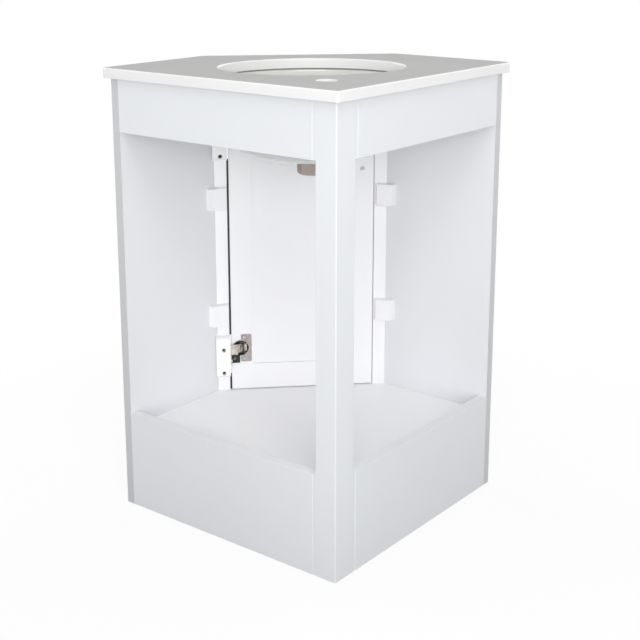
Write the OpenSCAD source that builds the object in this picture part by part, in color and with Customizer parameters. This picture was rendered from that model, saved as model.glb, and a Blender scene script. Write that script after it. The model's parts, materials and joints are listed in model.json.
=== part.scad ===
// Corner vanity unit: a five-sided white cabinet that stands in the corner of a room, with two open
// backs, a diagonal front with one inset door, and a stone top over an undermount oval basin.
// Millimetres, +Z up. The door faces -Y, the corner of the room is at +Y, and the origin lies on the
// floor under the middle of the whole unit.

/* [Cabinet] */
// Length of the cabinet along each wall
wall_run = 535; // [500:5:600]
// Height of the cabinet without its top
cabinet_h = 869; // [780:1:900]
// Thickness of the lacquered boards
board_t = 18; // [16:0.5:20]
// Distance from the room corner to the face of the front frame
front_d = 567; // [540:1:590]

/* [Back frame] */
// Height of the two top back rails
top_rail_h = 102; // [70:1:130]
// Height of the two bottom back rails
bottom_rail_h = 198; // [180:1:240]
// Width of the corner post board that covers the corner
post_wide_w = 44; // [36:1:60]
// Reach of the narrower corner post board along its wall
post_narrow_w = 52; // [40:1:64]
// Width of the shallow joint band at the post end of each rail
band_w = 8; // [4:0.5:12]
// Depth of the joint band
band_depth = 0.8; // [0.4:0.1:2]
// Bevel on the outer corner of the post
post_bevel = 1.5; // [0.5:0.1:3]

/* [Front frame] */
// Width of the stiles at their face
frame_stile_w = 34.1; // [30:0.1:45]
// Height of the head rail above the door
head_rail_h = 38; // [30:1:60]
// Height of the toe board under the door
toe_h = 168; // [160:1:180]
// Bevel round the door opening
opening_bevel = 1; // [0.5:0.1:2]

/* [Floor] */
// Thickness of the cabinet floor
floor_t = 15; // [12:0.5:18]
// Gap between the floor and the boards round it
floor_gap = 0.2; // [0.1:0.05:0.5]
// Width and height of the square cleats under the floor
cleat_w = 20; // [15:1:30]
// Gap between the ends of a cleat and the boards there
cleat_end_gap = 22; // [10:1:40]

/* [Door] */
// Gap between the door and the frame on the hinge side
hinge_gap = 3; // [2:0.5:4]
// Gap between the door and the frame on the latch side
latch_gap = 2; // [1.5:0.5:3]
// Gap above and below the door
end_gap = 2; // [1.5:0.5:4]
// Width of the door stiles
door_stile_w = 48; // [46:1:60]
// Width of the door rails
door_rail_w = 56; // [46:1:80]
// Thickness of the door panel
door_panel_t = 9; // [8:0.5:10]
// Depth of the panel's face behind the face of the frame
door_recess = 6; // [5:0.5:7]
// Depth of the groove that holds the panel
groove_depth = 8; // [6:0.5:12]
// Thickness of the tongues in that groove
tongue_t = 6; // [5:0.5:7]
// Clearance of a panel's edge in its groove
groove_gap = 0.2; // [0.1:0.05:0.5]
// Bevel along the inner edges of the door frame
frame_bevel = 2; // [1:0.5:3]

/* [Hinges] */
// Distance of each hinge centre from the end of the door
hinge_inset = 93; // [75:1:120]
// Diameter of the hinge cup's body
cup_d = 34.9; // [34.8:0.05:34.95]
// Diameter of the hole for the cup
cup_hole_d = 35; // [35:0.05:35.1]
// Wood left between the cup hole and the door's edge
cup_edge = 2.5; // [2:0.5:5]
// Depth of the hinge cup in the door
cup_depth = 12; // [11:0.5:12.5]
// Wall of the pressed cup
cup_wall = 1.2; // [0.8:0.1:1.5]
// Width of the cup's flange plate
cup_plate_w = 23; // [21:0.5:25]
// Height of the cup's flange plate
cup_plate_h = 62; // [58:1:64]
// Distance between the two screws of the flange plate
cup_screw_pitch = 48; // [46:1:52]
// Thickness of the flange plate
cup_plate_t = 1.2; // [0.8:0.1:1.5]
// Height of the hinge arm
arm_h = 18; // [14:1:20]
// Thickness of the arm's steel
arm_t = 1.6; // [1.2:0.1:2]
// Radius of the arm's bend into the cup
arm_bend_r = 16; // [15:0.5:16.5]
// How deep the arm's side cheeks are
arm_cheek = 6.5; // [5:0.5:7]
// Thickness of the arm's mounting plate
base_plate_t = 2; // [1.5:0.1:2]
// Diameter of the head of the depth adjusting screw
adjuster_d = 9; // [7:0.5:10]
// Thickness of the link between the cup and the arm
link_t = 1.6; // [1.2:0.1:2]
// Height of the link
link_h = 12; // [8:1:16]
// Gap between the link and the arm's bend
link_gap = 1.2; // [0.8:0.1:2]
// Diameter of the pin across the cup
link_pin_d = 2.5; // [2:0.1:3]

/* [Hinge blocks] */
// Height of the wooden block behind each hinge
block_h = 90; // [80:1:110]
// How far the block's middle lies below the hinge centre
block_drop = 14; // [8:1:18]
// Depth of the block behind the frame
block_depth = 20; // [18:0.5:24]
// How far the block runs past the stile, along the side panel
block_overrun = 4; // [2:0.5:8]
// Gap between the block and the edge of the door opening
block_edge_gap = 0.5; // [0.3:0.1:2]
// Distance between the block's face beside the door and its screws
block_screw_in = 14; // [8:1:18]
// Bevel at the top and bottom of the block
block_bevel = 4; // [1:0.5:6]
// Distance between the two screws of a block
block_screw_pitch = 52; // [40:1:60]
// Diameter of the counterbores in the block
counterbore_d = 8.4; // [8.2:0.1:10]
// Depth of the counterbores in the block
counterbore_depth = 8; // [5:0.5:12]

/* [Corner blocks] */
// Height of the small glue blocks in the front corners
glue_block_h = 45; // [30:1:60]
// Gap between a glue block and the edge of the door opening
glue_block_edge_gap = 2.6; // [1:0.1:6]
// Depth of a glue block's sides
glue_block_depth = 14; // [10:1:20]
// Gap between the lower hinge block and the glue block above it
glue_block_low_gap = 25.5; // [10:0.5:80]
// Gap between the upper hinge block and the glue block below it
glue_block_high_gap = 58.5; // [10:0.5:80]

/* [Screws and dowels] */
// Diameter of the wood screws' shanks
screw_d = 4; // [3.5:0.1:4.5]
// Diameter of the wood screws' heads
screw_head_d = 7.6; // [7:0.1:8]
// Height of the wood screws' heads
screw_head_h = 2.4; // [2:0.1:3]
// Radial clearance round screws and dowels in their holes
screw_fit = 0.05; // [0.02:0.01:0.1]
// Diameter of the joint dowels
dowel_d = 8; // [6:1:10]
// Length of the joint dowels
dowel_l = 30; // [20:1:34]

/* [Knob] */
// Distance between the knob's middle and the top of the door
knob_drop = 178; // [100:1:300]
// Diameter of the knob's head
knob_d = 30; // [24:1:36]
// How far the knob stands out from the door
knob_l = 26; // [20:1:32]
// Diameter of the knob's foot
knob_foot_d = 16; // [12:1:20]
// Diameter of the knob's neck
knob_neck_d = 10; // [8:0.5:12]
// Diameter of the knob's screw
knob_screw_d = 4; // [4:0.5:5]

/* [Top] */
// Thickness of the stone top
slab_t = 20; // [18:1:30]
// Overhang of the top beyond the walls' side and the cabinet's sides
slab_overhang = 12; // [6:1:20]
// Overhang of the top beyond the front frame
slab_front_overhang = 5; // [2:1:20]
// Bevel of the top's upper edges
slab_bevel = 1.5; // [0.5:0.1:3]
// Radius of the top's upright corners
slab_corner_r = 5; // [2:0.5:10]
// Half width of the basin cut-out
basin_half_w = 178; // [160:1:185]
// Gap between the basin's flange and the front frame
basin_front_gap = 30; // [24:1:40]
// Gap between the basin's flange and the back rails
basin_rail_gap = 45.5; // [30:0.5:60]
// Diameter of the tap hole
tap_hole_d = 35; // [30:1:38]
// Distance between the middle of the tap hole and the cut-out
tap_ledge = 76; // [50:1:90]

/* [Basin] */
// Depth of the basin's inside below the top's underside
bowl_depth = 146; // [120:1:160]
// Thickness of the basin's ware
bowl_wall = 8; // [6:0.5:10]
// How far the basin's rim stands back from the cut-out
bowl_setback = 2; // [1:0.5:4]
// Width of the basin's flange beyond its rim
flange_w = 20; // [18:1:26]
// Thickness of the basin's flange
flange_t = 11; // [9:0.5:14]
// Radius of the flat round the drain
bowl_flat_r = 44; // [38:1:56]
// Roundness of the basin's section, where 1 is an ellipse
bowl_roundness = 0.72; // [0.6:0.02:1]
// Diameter of the drain hole
drain_d = 45; // [40:1:46]
// Outer diameter of the drain boss
drain_boss_d = 58; // [54:1:64]
// Length of the drain boss below the basin
drain_boss_l = 31; // [20:1:36]
// Rounding of the drain boss's lower edge
drain_boss_r = 6; // [2:0.5:6]
// Diameter of the sunk seat round the drain hole
drain_seat_d = 60; // [52:1:64]
// Depth of that seat
drain_seat_depth = 2.5; // [1:0.5:4]
// Thickness of the sealant between the basin and the top
seal_t = 2; // [1:0.5:3]
// Width of the sealant ring
seal_w = 14; // [8:1:16]

/* [Basin clips] */
// Width of a clip
clip_w = 16; // [12:1:20]
// Thickness of a clip's steel
clip_t = 2; // [1.5:0.5:3]
// Reach of a clip under the flange
clip_reach = 10; // [6:1:14]
// Length of a clip's foot against the top
clip_foot = 15; // [12:1:24]
// Depth of the clip screws in the top
clip_screw_depth = 12; // [8:1:14]
// Gap between a clip and the edge of the flange
clip_gap = 1; // [0.5:0.1:2]
// Angle from the basin's long axis to each clip
clip_angle = 42; // [30:1:60]

/* [Hidden] */
root_two = sqrt(2);
cut = 1;
fine = 96;
round_fn = 48;
small_fn = 24;

// The cabinet's back corner on the Y axis, with the unit centred between that corner and the knob
slab_back_d = -slab_overhang * root_two + slab_corner_r * (root_two - 1);
corner_y = (front_d + knob_l + slab_back_d) / 2;
front_y = corner_y - front_d;
slab_z = cabinet_h;

// Half widths of the front frame at its face and at its back
frame_half_face = root_two * wall_run - front_d;
frame_half_back = root_two * (wall_run - board_t) - (front_d - board_t);

// The side panels' outer and inner depths along the wall's normal
side_outer_depth = root_two * front_d - wall_run;
side_inner_depth = root_two * (front_d - board_t) - (wall_run - board_t);

// Door, in an opening whose width is rounded to a tenth
opening_w = round(20 * (frame_half_face - frame_stile_w)) / 10;
door_z0 = toe_h + end_gap;
door_z1 = cabinet_h - head_rail_h - end_gap;
door_x0 = -opening_w / 2 + latch_gap;
door_x1 = opening_w / 2 - hinge_gap;
door_t = board_t;
rail_x0 = door_x0 + door_stile_w;
rail_x1 = door_x1 - door_stile_w;
groove_y = door_recess + (door_panel_t - tongue_t) / 2;
groove_t = tongue_t + groove_gap;
knob_x = door_x0 + door_stile_w / 2;
knob_z = door_z1 - knob_drop;

// Hinges, measured from the pivot on the frame's face
pivot_x = opening_w / 2;
hinge_z_low = door_z0 + hinge_inset;
hinge_z_high = door_z1 - hinge_inset;
cup_x = door_x1 - cup_edge - cup_hole_d / 2;
cup_rim_t = 1;
cup_rim_w = 1.1;
cup_plate_r = 3;
cup_screw_setback = 7;
cup_screw_x = cup_x - cup_screw_setback;
cup_screw_depth = 10;
cup_screw_head_d = 7;
cup_screw_head_h = 1.8;
block_face_x = pivot_x + block_edge_gap;
arm_rise = 4.4;
arm_y = board_t + arm_rise;
arm_bend_setback = 12;
arm_centre_x = pivot_x - arm_bend_setback;
arm_centre_y = arm_y + arm_t - arm_bend_r;
arm_end_angle = 180;
cheek_start_angle = 95;
base_plate_margin = 1.5;
base_plate_y0 = board_t + base_plate_margin;
base_plate_y1 = board_t + block_depth - base_plate_margin;
base_plate_up = 12;
base_plate_down = 32;
lug_reach = 15;
adjuster_h = 3;
adjuster_tip = 1.5;
adjuster_x = pivot_x - base_plate_t - lug_reach / 2;
adjuster_z = -(arm_h / 2 + base_plate_down) / 2;
base_screw_shift = 3;
base_screw_y = board_t + block_depth / 2 + base_screw_shift;
base_screw_z = [7, -24];
base_screw_l = 12;

// Links: each is a ring sector round the arm's bend, with an eye on the pin across the cup
link_r0 = arm_bend_r + link_gap;
link_angles = [130, 172];
link_eye_r = 2.4;
pin_r = link_r0 + link_eye_r;
pin_x = arm_centre_x + pin_r * cos(link_angles[1]);
pin_y = arm_centre_y + pin_r * sin(link_angles[1]);
pin_end_gap = 0.1;
pin_l = 2 * (sqrt(pow(cup_d / 2, 2) - pow(cup_x - pin_x + link_pin_d / 2, 2)) - pin_end_gap);

// Blocks: the hinge blocks' screws sit below the block's middle
block_x1 = frame_half_back + block_overrun;
block_screw_x = block_face_x + block_screw_in;
block_shift = -10;
wood_grip = 10;
block_screw_l = block_depth - counterbore_depth + wood_grip;
block_top = (block_h / 2) - block_drop;
block_bottom = -(block_h / 2) - block_drop;
glue_block_leg = frame_half_back - pivot_x - glue_block_edge_gap;
glue_block_low_z = hinge_z_low + block_top + glue_block_low_gap + glue_block_h / 2;
glue_block_high_z = hinge_z_high + block_bottom - glue_block_high_gap - glue_block_h / 2;

// How many dowels each joint has
top_rail_dowels = 2;
bottom_rail_dowels = 3;
toe_dowels = 3;
head_dowels = 1;

// Heights of the dowels in the ends of the back rails and of the front's cross pieces
top_dowels = dowel_heights(cabinet_h - top_rail_h, top_rail_h, top_rail_dowels);
bottom_dowels = dowel_heights(0, bottom_rail_h, bottom_rail_dowels);
frame_dowels = concat(
    dowel_heights(0, toe_h, toe_dowels),
    dowel_heights(cabinet_h - head_rail_h, head_rail_h, head_dowels));

// Knob: the length of its screw's grip, the heights of its head, crown and foot's rim, and its flares
knob_thread_l = 12;
knob_head_t = 9;
knob_crown_t = 4;
knob_foot_t = 1.5;
knob_flare = 3;
knob_neck_flare = 1;
knob_neck_r0 = knob_neck_d / 2 + knob_neck_flare;
knob_screw_head_d = 9;

// Screws' blind ends lie this far beyond their tips
tip_gap = 0.5;
recess_depth = 1.2;
recess_w = 1.1;
recess_reach = 0.24;
head_taper = 0.72;

// Basin: its flange touches a line at the front gap and two at 45 degrees at the rail gaps
rim_half_w = basin_half_w + bowl_setback;
flange_half_w = rim_half_w + flange_w;
flange_room = front_d - board_t - basin_front_gap - root_two * (board_t + basin_rail_gap);
flange_half_d = (pow(flange_room, 2) - pow(flange_half_w, 2)) / (2 * flange_room);
rim_half_d = flange_half_d - flange_w;
basin_half_d = rim_half_d - bowl_setback;
basin_d = front_d - board_t - basin_front_gap - flange_half_d;
tap_hole_at = basin_d - basin_half_d - tap_ledge;
seal_setback = 1;
flange_z = slab_z - seal_t;
bowl_bottom_z = flange_z - bowl_depth - bowl_wall;
bowl_steps = 11;
bowl_sides = 56;
boss_steps = 4;

// A 5-sided plan with its right angle at the room corner and both walls' sides equal
function corner_plan(grow, front) = [
    [-grow, -grow],
    [wall_run + grow, -grow],
    [wall_run + grow, root_two * (front_d + front) - wall_run - grow],
    [root_two * (front_d + front) - wall_run - grow, wall_run + grow],
    [-grow, wall_run + grow]
];

// Points along a round corner of radius r at p, between its neighbours a and b
function unit(v) = v / norm(v);
function round_corner(a, p, b, r, steps) =
    let (
        to_a = unit(a - p),
        to_b = unit(b - p),
        half = acos(to_a * to_b) / 2,
        middle = p + unit(to_a + to_b) * r / sin(half),
        start = p + to_a * r / tan(half) - middle,
        turn = (cross(start, p - middle) > 0 ? 1 : -1) * (180 - 2 * half)
    )
    [for (i = [0:steps])
        let (t = turn * i / steps)
        middle + [start.x * cos(t) - start.y * sin(t), start.x * sin(t) + start.y * cos(t)]];
function rounded(points, r, steps = 6) =
    [for (i = [0:len(points) - 1])
        each round_corner(
            points[(i + len(points) - 1) % len(points)],
            points[i],
            points[(i + 1) % len(points)],
            r, steps)];

// Ring of points on an ellipse at one height
function oval_ring(half_w, half_d, z) =
    [for (i = [0:bowl_sides - 1])
        let (t = 360 * i / bowl_sides)
        [half_w * cos(t), half_d * sin(t), z]];

// Section of one face of the bowl, from its rim down to its flat bottom
function bowl_section(extra, top, depth) =
    [for (i = [0:bowl_steps])
        let (
            t = 90 * i / bowl_steps,
            out = pow(cos(t), bowl_roundness),
            down = pow(sin(t), bowl_roundness)
        )
        [
            bowl_flat_r + (rim_half_w + extra - bowl_flat_r) * out,
            bowl_flat_r + (rim_half_d + extra - bowl_flat_r) * out,
            top - (depth + top) * down
        ]];

// ---- Places ----

// From the room corner: x along the left wall, y along the right wall
module from_corner() {
    translate([0, corner_y, 0])
        rotate([0, 0, -135])
            children();
}

// Along one wall: x from the room corner, y from the wall into the cabinet
module along_left_wall() {
    from_corner()
        children();
}

module along_right_wall() {
    from_corner()
        mirror([1, -1, 0])
            children();
}

// At the front frame: y runs from its face into the cabinet
module at_front() {
    translate([0, front_y, 0])
        children();
}

module at_basin() {
    translate([0, corner_y - basin_d, 0])
        children();
}

// ---- Shared forms ----

module box(x0, x1, y0, y1, z0, z1) {
    translate([x0, y0, z0])
        cube([x1 - x0, y1 - y0, z1 - z0]);
}

// A flat board with the given outline between two heights
module board(points, z0, z1) {
    translate([0, 0, z0])
        linear_extrude(z1 - z0)
            polygon(points);
}

// A bar that cuts a bevel along the line from a to b in a plane at height z
module bevel_cut(a, b, z, size) {
    reach = norm(b - a);
    angle = atan2(b.y - a.y, b.x - a.x);
    side = size * root_two;
    translate([a.x, a.y, z])
        rotate([0, 0, angle])
            rotate([45, 0, 0])
                translate([-size * 2, -side / 2, -side / 2])
                    cube([reach + size * 4, side, side]);
}

// A screw whose head stands on z = 0 and whose shank goes down
module screw(length, d = screw_d, head_d = screw_head_d, head_h = screw_head_h) {
    difference() {
        union() {
            translate([0, 0, -length])
                cylinder(h = length, d = d, $fn = small_fn);
            cylinder(h = head_h, d1 = head_d, d2 = head_d * head_taper, $fn = small_fn);
        }
        for (turn = [0, 90])
            rotate([0, 0, turn])
                translate([-head_d * recess_reach, -recess_w / 2, head_h - recess_depth])
                    cube([head_d * recess_reach * 2, recess_w, recess_depth + cut]);
    }
}

// The hole for such a screw, from z = 0 downwards
module screw_hole(length, d = screw_d) {
    translate([0, 0, -length - tip_gap])
        cylinder(h = length + tip_gap + cut, d = d + 2 * screw_fit, $fn = small_fn);
}

module dowel_hole(length) {
    cylinder(h = length, d = dowel_d + 2 * screw_fit, center = true, $fn = small_fn);
}

// ---- Back frame ----

// Heights of the dowels at the ends of a rail
function dowel_heights(z0, h, count) =
    [for (i = [0:count - 1]) z0 + h * (i + 0.5) / count];

module end_dowel_holes(x, heights) {
    for (z = heights)
        translate([x, board_t / 2, z])
            rotate([0, 90, 0])
                dowel_hole(dowel_l + 2 * tip_gap);
}

module back_rail(post_w, z0, h, heights) {
    x1 = wall_run - board_t;
    difference() {
        box(post_w, x1, 0, board_t, z0, z0 + h);
        box(post_w - cut, post_w + band_w, -cut, band_depth, z0 - cut, z0 + h + cut);
        end_dowel_holes(post_w, heights);
        end_dowel_holes(x1, heights);
    }
}

module back_rail_top_left() {
    color("whitesmoke")
        along_left_wall()
            back_rail(post_narrow_w, cabinet_h - top_rail_h, top_rail_h, top_dowels);
}

module back_rail_top_right() {
    color("whitesmoke")
        along_right_wall()
            back_rail(post_wide_w, cabinet_h - top_rail_h, top_rail_h, top_dowels);
}

module back_rail_bottom_left() {
    color("gainsboro")
        along_left_wall()
            back_rail(post_narrow_w, 0, bottom_rail_h, bottom_dowels);
}

module back_rail_bottom_right() {
    color("gainsboro")
        along_right_wall()
            back_rail(post_wide_w, 0, bottom_rail_h, bottom_dowels);
}

module corner_post_wide() {
    color("lavender")
        along_right_wall()
            difference() {
                board([
                    [post_bevel, 0],
                    [post_wide_w, 0],
                    [post_wide_w, board_t],
                    [0, board_t],
                    [0, post_bevel]
                ], 0, cabinet_h);
                end_dowel_holes(post_wide_w, concat(top_dowels, bottom_dowels));
            }
}

module corner_post_narrow() {
    color("lavender")
        along_left_wall()
            difference() {
                box(board_t, post_narrow_w, 0, board_t, 0, cabinet_h);
                end_dowel_holes(post_narrow_w, concat(top_dowels, bottom_dowels));
            }
}

// ---- Sides ----

module side_panel() {
    outer = wall_run;
    inner = wall_run - board_t;
    difference() {
        board([
            [inner, 0],
            [outer, 0],
            [outer, side_outer_depth],
            [inner, side_inner_depth]
        ], 0, cabinet_h);
        end_dowel_holes(inner, concat(top_dowels, bottom_dowels));
    }
}

module side_panel_left() {
    color("white")
        along_left_wall()
            side_panel();
}

module side_panel_right() {
    color("white")
        along_right_wall()
            side_panel();
}

// ---- Front frame ----

// One stile on the +X side, mitred where it meets its side panel
module frame_stile() {
    edge = opening_w / 2;
    difference() {
        board([
            [edge, 0],
            [frame_half_face, 0],
            [frame_half_back, board_t],
            [edge, board_t]
        ], 0, cabinet_h);
        rotate([0, -90, 0])
            bevel_cut([toe_h, 0], [cabinet_h - head_rail_h, 0], -edge, opening_bevel);
        frame_dowel_places()
            dowel_hole(dowel_l + 2 * tip_gap);
    }
}

// Dowels between the stile on the +X side and the two cross pieces
module frame_dowel_places() {
    for (z = frame_dowels)
        translate([opening_w / 2, board_t / 2, z])
            rotate([0, 90, 0])
                children();
}

module frame_stile_left() {
    color("white")
        at_front()
            mirror([1, 0, 0])
                frame_stile();
}

module frame_stile_right() {
    color("white")
        at_front()
            difference() {
                frame_stile();
                block_screw_places()
                    screw_hole(block_screw_l);
            }
}

// A board across the opening, extruded from its section, whose points are [depth, height]
module cross_piece(section) {
    difference() {
        translate([-opening_w / 2, 0, 0])
            rotate([90, 0, 90])
                linear_extrude(opening_w)
                    polygon(section);
        for (side = [0, 1])
            mirror([side, 0, 0])
                frame_dowel_places()
                    dowel_hole(dowel_l + 2 * tip_gap);
    }
}

module frame_head_rail() {
    z0 = cabinet_h - head_rail_h;
    color("white")
        at_front()
            cross_piece([
                [opening_bevel, z0],
                [board_t, z0],
                [board_t, cabinet_h],
                [0, cabinet_h],
                [0, z0 + opening_bevel]
            ]);
}

module toe_board() {
    color("white")
        at_front()
            cross_piece([
                [0, 0],
                [board_t, 0],
                [board_t, toe_h],
                [opening_bevel, toe_h],
                [0, toe_h - opening_bevel]
            ]);
}

// ---- Floor ----

module floor_panel() {
    inner = board_t + floor_gap;
    outer = wall_run - board_t - floor_gap;
    meet = root_two * (front_d - board_t - floor_gap) - outer;
    color("white")
        from_corner()
            board([
                [inner, inner],
                [outer, inner],
                [outer, meet],
                [meet, outer],
                [inner, outer]
            ], toe_h - floor_t, toe_h);
}

module floor_cleats() {
    z1 = toe_h - floor_t;
    z0 = z1 - cleat_w;
    back_end = wall_run - board_t - cleat_w - cleat_end_gap;
    color("burlywood") {
        along_left_wall()
            box(board_t + cleat_w + cleat_end_gap, back_end, board_t, board_t + cleat_w, z0, z1);
        along_right_wall()
            box(board_t + cleat_w + cleat_end_gap, back_end, board_t, board_t + cleat_w, z0, z1);
        along_left_wall()
            side_cleat(z0, z1);
        along_right_wall()
            side_cleat(z0, z1);
        at_front()
            box(-opening_w / 2 + cleat_w, opening_w / 2 - cleat_w, board_t, board_t + cleat_w, z0, z1);
    }
}

module side_cleat(z0, z1) {
    inner = wall_run - board_t;
    box(inner - cleat_w, inner, board_t + cleat_end_gap, side_inner_depth - cleat_w - cleat_end_gap, z0, z1);
}

// ---- Joints ----

module dowel() {
    cylinder(h = dowel_l, d = dowel_d, center = true, $fn = small_fn);
}

module end_dowels(x, heights) {
    for (z = heights)
        translate([x, board_t / 2, z])
            rotate([0, 90, 0])
                dowel();
}

module joint_dowels() {
    heights = concat(top_dowels, bottom_dowels);
    color("tan") {
        along_left_wall() {
            end_dowels(post_narrow_w, heights);
            end_dowels(wall_run - board_t, heights);
        }
        along_right_wall() {
            end_dowels(post_wide_w, heights);
            end_dowels(wall_run - board_t, heights);
        }
        at_front()
            for (side = [0, 1])
                mirror([side, 0, 0])
                    frame_dowel_places()
                        dowel();
    }
}

// A block in the blunt corner between a stile and its side panel, on the +X side
function glue_block_outline() =
    let (
        corner = [frame_half_back, board_t],
        along_side = [1, 1] / root_two,
        off_side = [-1, 1] / root_two
    )
    [
        corner,
        corner + [-glue_block_leg, 0],
        corner + [-glue_block_leg, glue_block_depth],
        corner + along_side * glue_block_leg + off_side * glue_block_depth,
        corner + along_side * glue_block_leg
    ];

module glue_block() {
    for (z = [glue_block_low_z, glue_block_high_z])
        board(glue_block_outline(), z - glue_block_h / 2, z + glue_block_h / 2);
}

module glue_blocks() {
    color("white")
        at_front()
            for (side = [0, 1])
                mirror([side, 0, 0])
                    glue_block();
}

// ---- Hinge blocks ----

module hinge_block(hinge_z) {
    z0 = hinge_z + block_bottom;
    z1 = hinge_z + block_top;
    back = board_t + block_depth;
    at_front()
        difference() {
            board([
                [block_face_x, board_t],
                [frame_half_back, board_t],
                [block_x1, board_t + block_overrun],
                [block_x1, back],
                [block_face_x, back]
            ], z0, z1);
            for (z = [z0, z1])
                bevel_cut([block_face_x, back], [block_x1, back], z, block_bevel);
            block_screw_places() {
                screw_hole(block_screw_l);
                cylinder(h = block_depth, d = counterbore_d, $fn = small_fn);
            }
            base_screw_places()
                screw_hole(base_screw_l);
        }
}

// The screws that hold both hinge blocks to their stile
module block_screw_places() {
    for (hinge_z = [hinge_z_low, hinge_z_high])
        for (end = [-1, 1])
            translate([
                block_screw_x,
                board_t + block_depth - counterbore_depth,
                hinge_z - block_drop + block_shift + end * block_screw_pitch / 2
            ])
                rotate([-90, 0, 0])
                    children();
}

module hinge_block_lower() {
    color("white")
        hinge_block(hinge_z_low);
}

module hinge_block_upper() {
    color("white")
        hinge_block(hinge_z_high);
}

module hinge_block_screws() {
    color("dimgray")
        at_front()
            block_screw_places()
                screw(block_screw_l);
}

// ---- Hinge arms ----

// A sector of a ring between two angles
module ring_sector(r_in, r_out, a0, a1, h) {
    far = r_out * 2;
    middle = (a0 + a1) / 2;
    linear_extrude(h)
        difference() {
            intersection() {
                circle(r = r_out, $fn = fine);
                polygon([
                    [0, 0],
                    [far * cos(a0), far * sin(a0)],
                    [far * cos(middle), far * sin(middle)],
                    [far * cos(a1), far * sin(a1)]
                ]);
            }
            circle(r = r_in, $fn = fine);
        }
}

// The fixed arm: its plate on the block, its web over the door's edge and its bend into the cup
module hinge_arm(hinge_z) {
    r_in = arm_bend_r - arm_t;
    plate_x = block_face_x - base_plate_t;
    half = arm_h / 2;
    at_front()
        translate([0, 0, hinge_z])
            difference() {
                union() {
                    box(plate_x, block_face_x, base_plate_y0, base_plate_y1, -base_plate_down, base_plate_up);
                    box(arm_centre_x, plate_x + cut / 2, arm_y, arm_y + arm_t, -half, half);
                    box(plate_x - lug_reach, plate_x + cut / 2, arm_y, arm_y + arm_t,
                        -base_plate_down, -half + cut);
                    translate([arm_centre_x, arm_centre_y, -half])
                        ring_sector(r_in, arm_bend_r, 90, arm_end_angle, arm_h);
                    for (z = [-half, half - arm_t])
                        translate([arm_centre_x, arm_centre_y, z])
                            ring_sector(arm_bend_r - arm_cheek, arm_bend_r - arm_t / 2,
                                cheek_start_angle, arm_end_angle, arm_t);
                }
                base_screw_places(false)
                    screw_hole(base_screw_l);
                translate([adjuster_x, arm_y - cut, adjuster_z])
                    rotate([-90, 0, 0])
                        cylinder(h = arm_t + 2 * cut, d = screw_d + 2 * screw_fit, $fn = small_fn);
            }
}

// The screws that hold an arm's plate to the side of its block
module base_screw_places(at_height = true) {
    heights = at_height ? [hinge_z_low, hinge_z_high] : [0];
    for (hinge_z = heights)
        for (z = base_screw_z)
            translate([block_face_x - base_plate_t, base_screw_y, hinge_z + z])
                rotate([0, -90, 0])
                    children();
}

module hinge_arm_lower() {
    color("silver")
        hinge_arm(hinge_z_low);
}

module hinge_arm_upper() {
    color("silver")
        hinge_arm(hinge_z_high);
}

module hinge_arm_screws() {
    color("gray")
        at_front()
            base_screw_places()
                screw(base_screw_l);
}

module hinge_adjusters() {
    color("dimgray")
        at_front()
            for (hinge_z = [hinge_z_low, hinge_z_high])
                translate([adjuster_x, arm_y + arm_t, hinge_z + adjuster_z])
                    rotate([-90, 0, 0])
                        screw(arm_t + adjuster_tip, screw_d, adjuster_d, adjuster_h);
}

// ---- Door ----

// A door stile whose groove faces +X where groove_right is true, and -X where it isn't
module door_stile_blank(x0, x1, groove_right) {
    groove_x = groove_right ? x1 : x0;
    difference() {
        box(x0, x1, 0, door_t, door_z0, door_z1);
        box(groove_x - groove_depth, groove_x + groove_depth, groove_y, groove_y + groove_t,
            door_z0 - cut, door_z1 + cut);
        rotate([0, -90, 0])
            bevel_cut([door_z0 + door_rail_w, 0], [door_z1 - door_rail_w, 0], -groove_x, frame_bevel);
    }
}

module door_stile_latch() {
    color("white")
        at_front()
            difference() {
                door_stile_blank(door_x0, rail_x0, true);
                translate([knob_x, -cut, knob_z])
                    rotate([-90, 0, 0])
                        cylinder(h = door_t + 2 * cut, d = knob_screw_d + 2 * screw_fit, $fn = small_fn);
            }
}

module door_stile_hinge() {
    color("white")
        at_front()
            difference() {
                door_stile_blank(rail_x1, door_x1, false);
                for (hinge_z = [hinge_z_low, hinge_z_high])
                    translate([cup_x, door_t - cup_depth - tip_gap, hinge_z])
                        rotate([-90, 0, 0])
                            cylinder(h = cup_depth + tip_gap + cut, d = cup_hole_d, $fn = fine);
                cup_screw_places()
                    screw_hole(cup_screw_depth);
            }
}

// A door rail with tongues that fill the stiles' grooves
module door_rail(z0, z1, groove_up) {
    inner = groove_up ? z1 : z0;
    difference() {
        union() {
            box(rail_x0, rail_x1, 0, door_t, z0, z1);
            box(rail_x0 - groove_depth + groove_gap, rail_x1 + groove_depth - groove_gap,
                groove_y, groove_y + tongue_t, z0, z1);
        }
        box(rail_x0 - groove_depth - cut, rail_x1 + groove_depth + cut, groove_y, groove_y + groove_t,
            inner - groove_depth, inner + groove_depth);
        bevel_cut([rail_x0, 0], [rail_x1, 0], inner, frame_bevel);
    }
}

module door_rail_top() {
    color("white")
        at_front()
            door_rail(door_z1 - door_rail_w, door_z1, false);
}

module door_rail_bottom() {
    color("white")
        at_front()
            door_rail(door_z0, door_z0 + door_rail_w, true);
}

module door_panel() {
    reach = groove_depth - groove_gap;
    z0 = door_z0 + door_rail_w;
    z1 = door_z1 - door_rail_w;
    color("white")
        at_front()
            union() {
                box(rail_x0 + groove_gap, rail_x1 - groove_gap, door_recess, door_recess + door_panel_t,
                    z0 + groove_gap, z1 - groove_gap);
                box(rail_x0 - reach, rail_x1 + reach, groove_y, groove_y + tongue_t, z0 - reach, z1 + reach);
            }
}

// ---- Hinge cups ----

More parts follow.
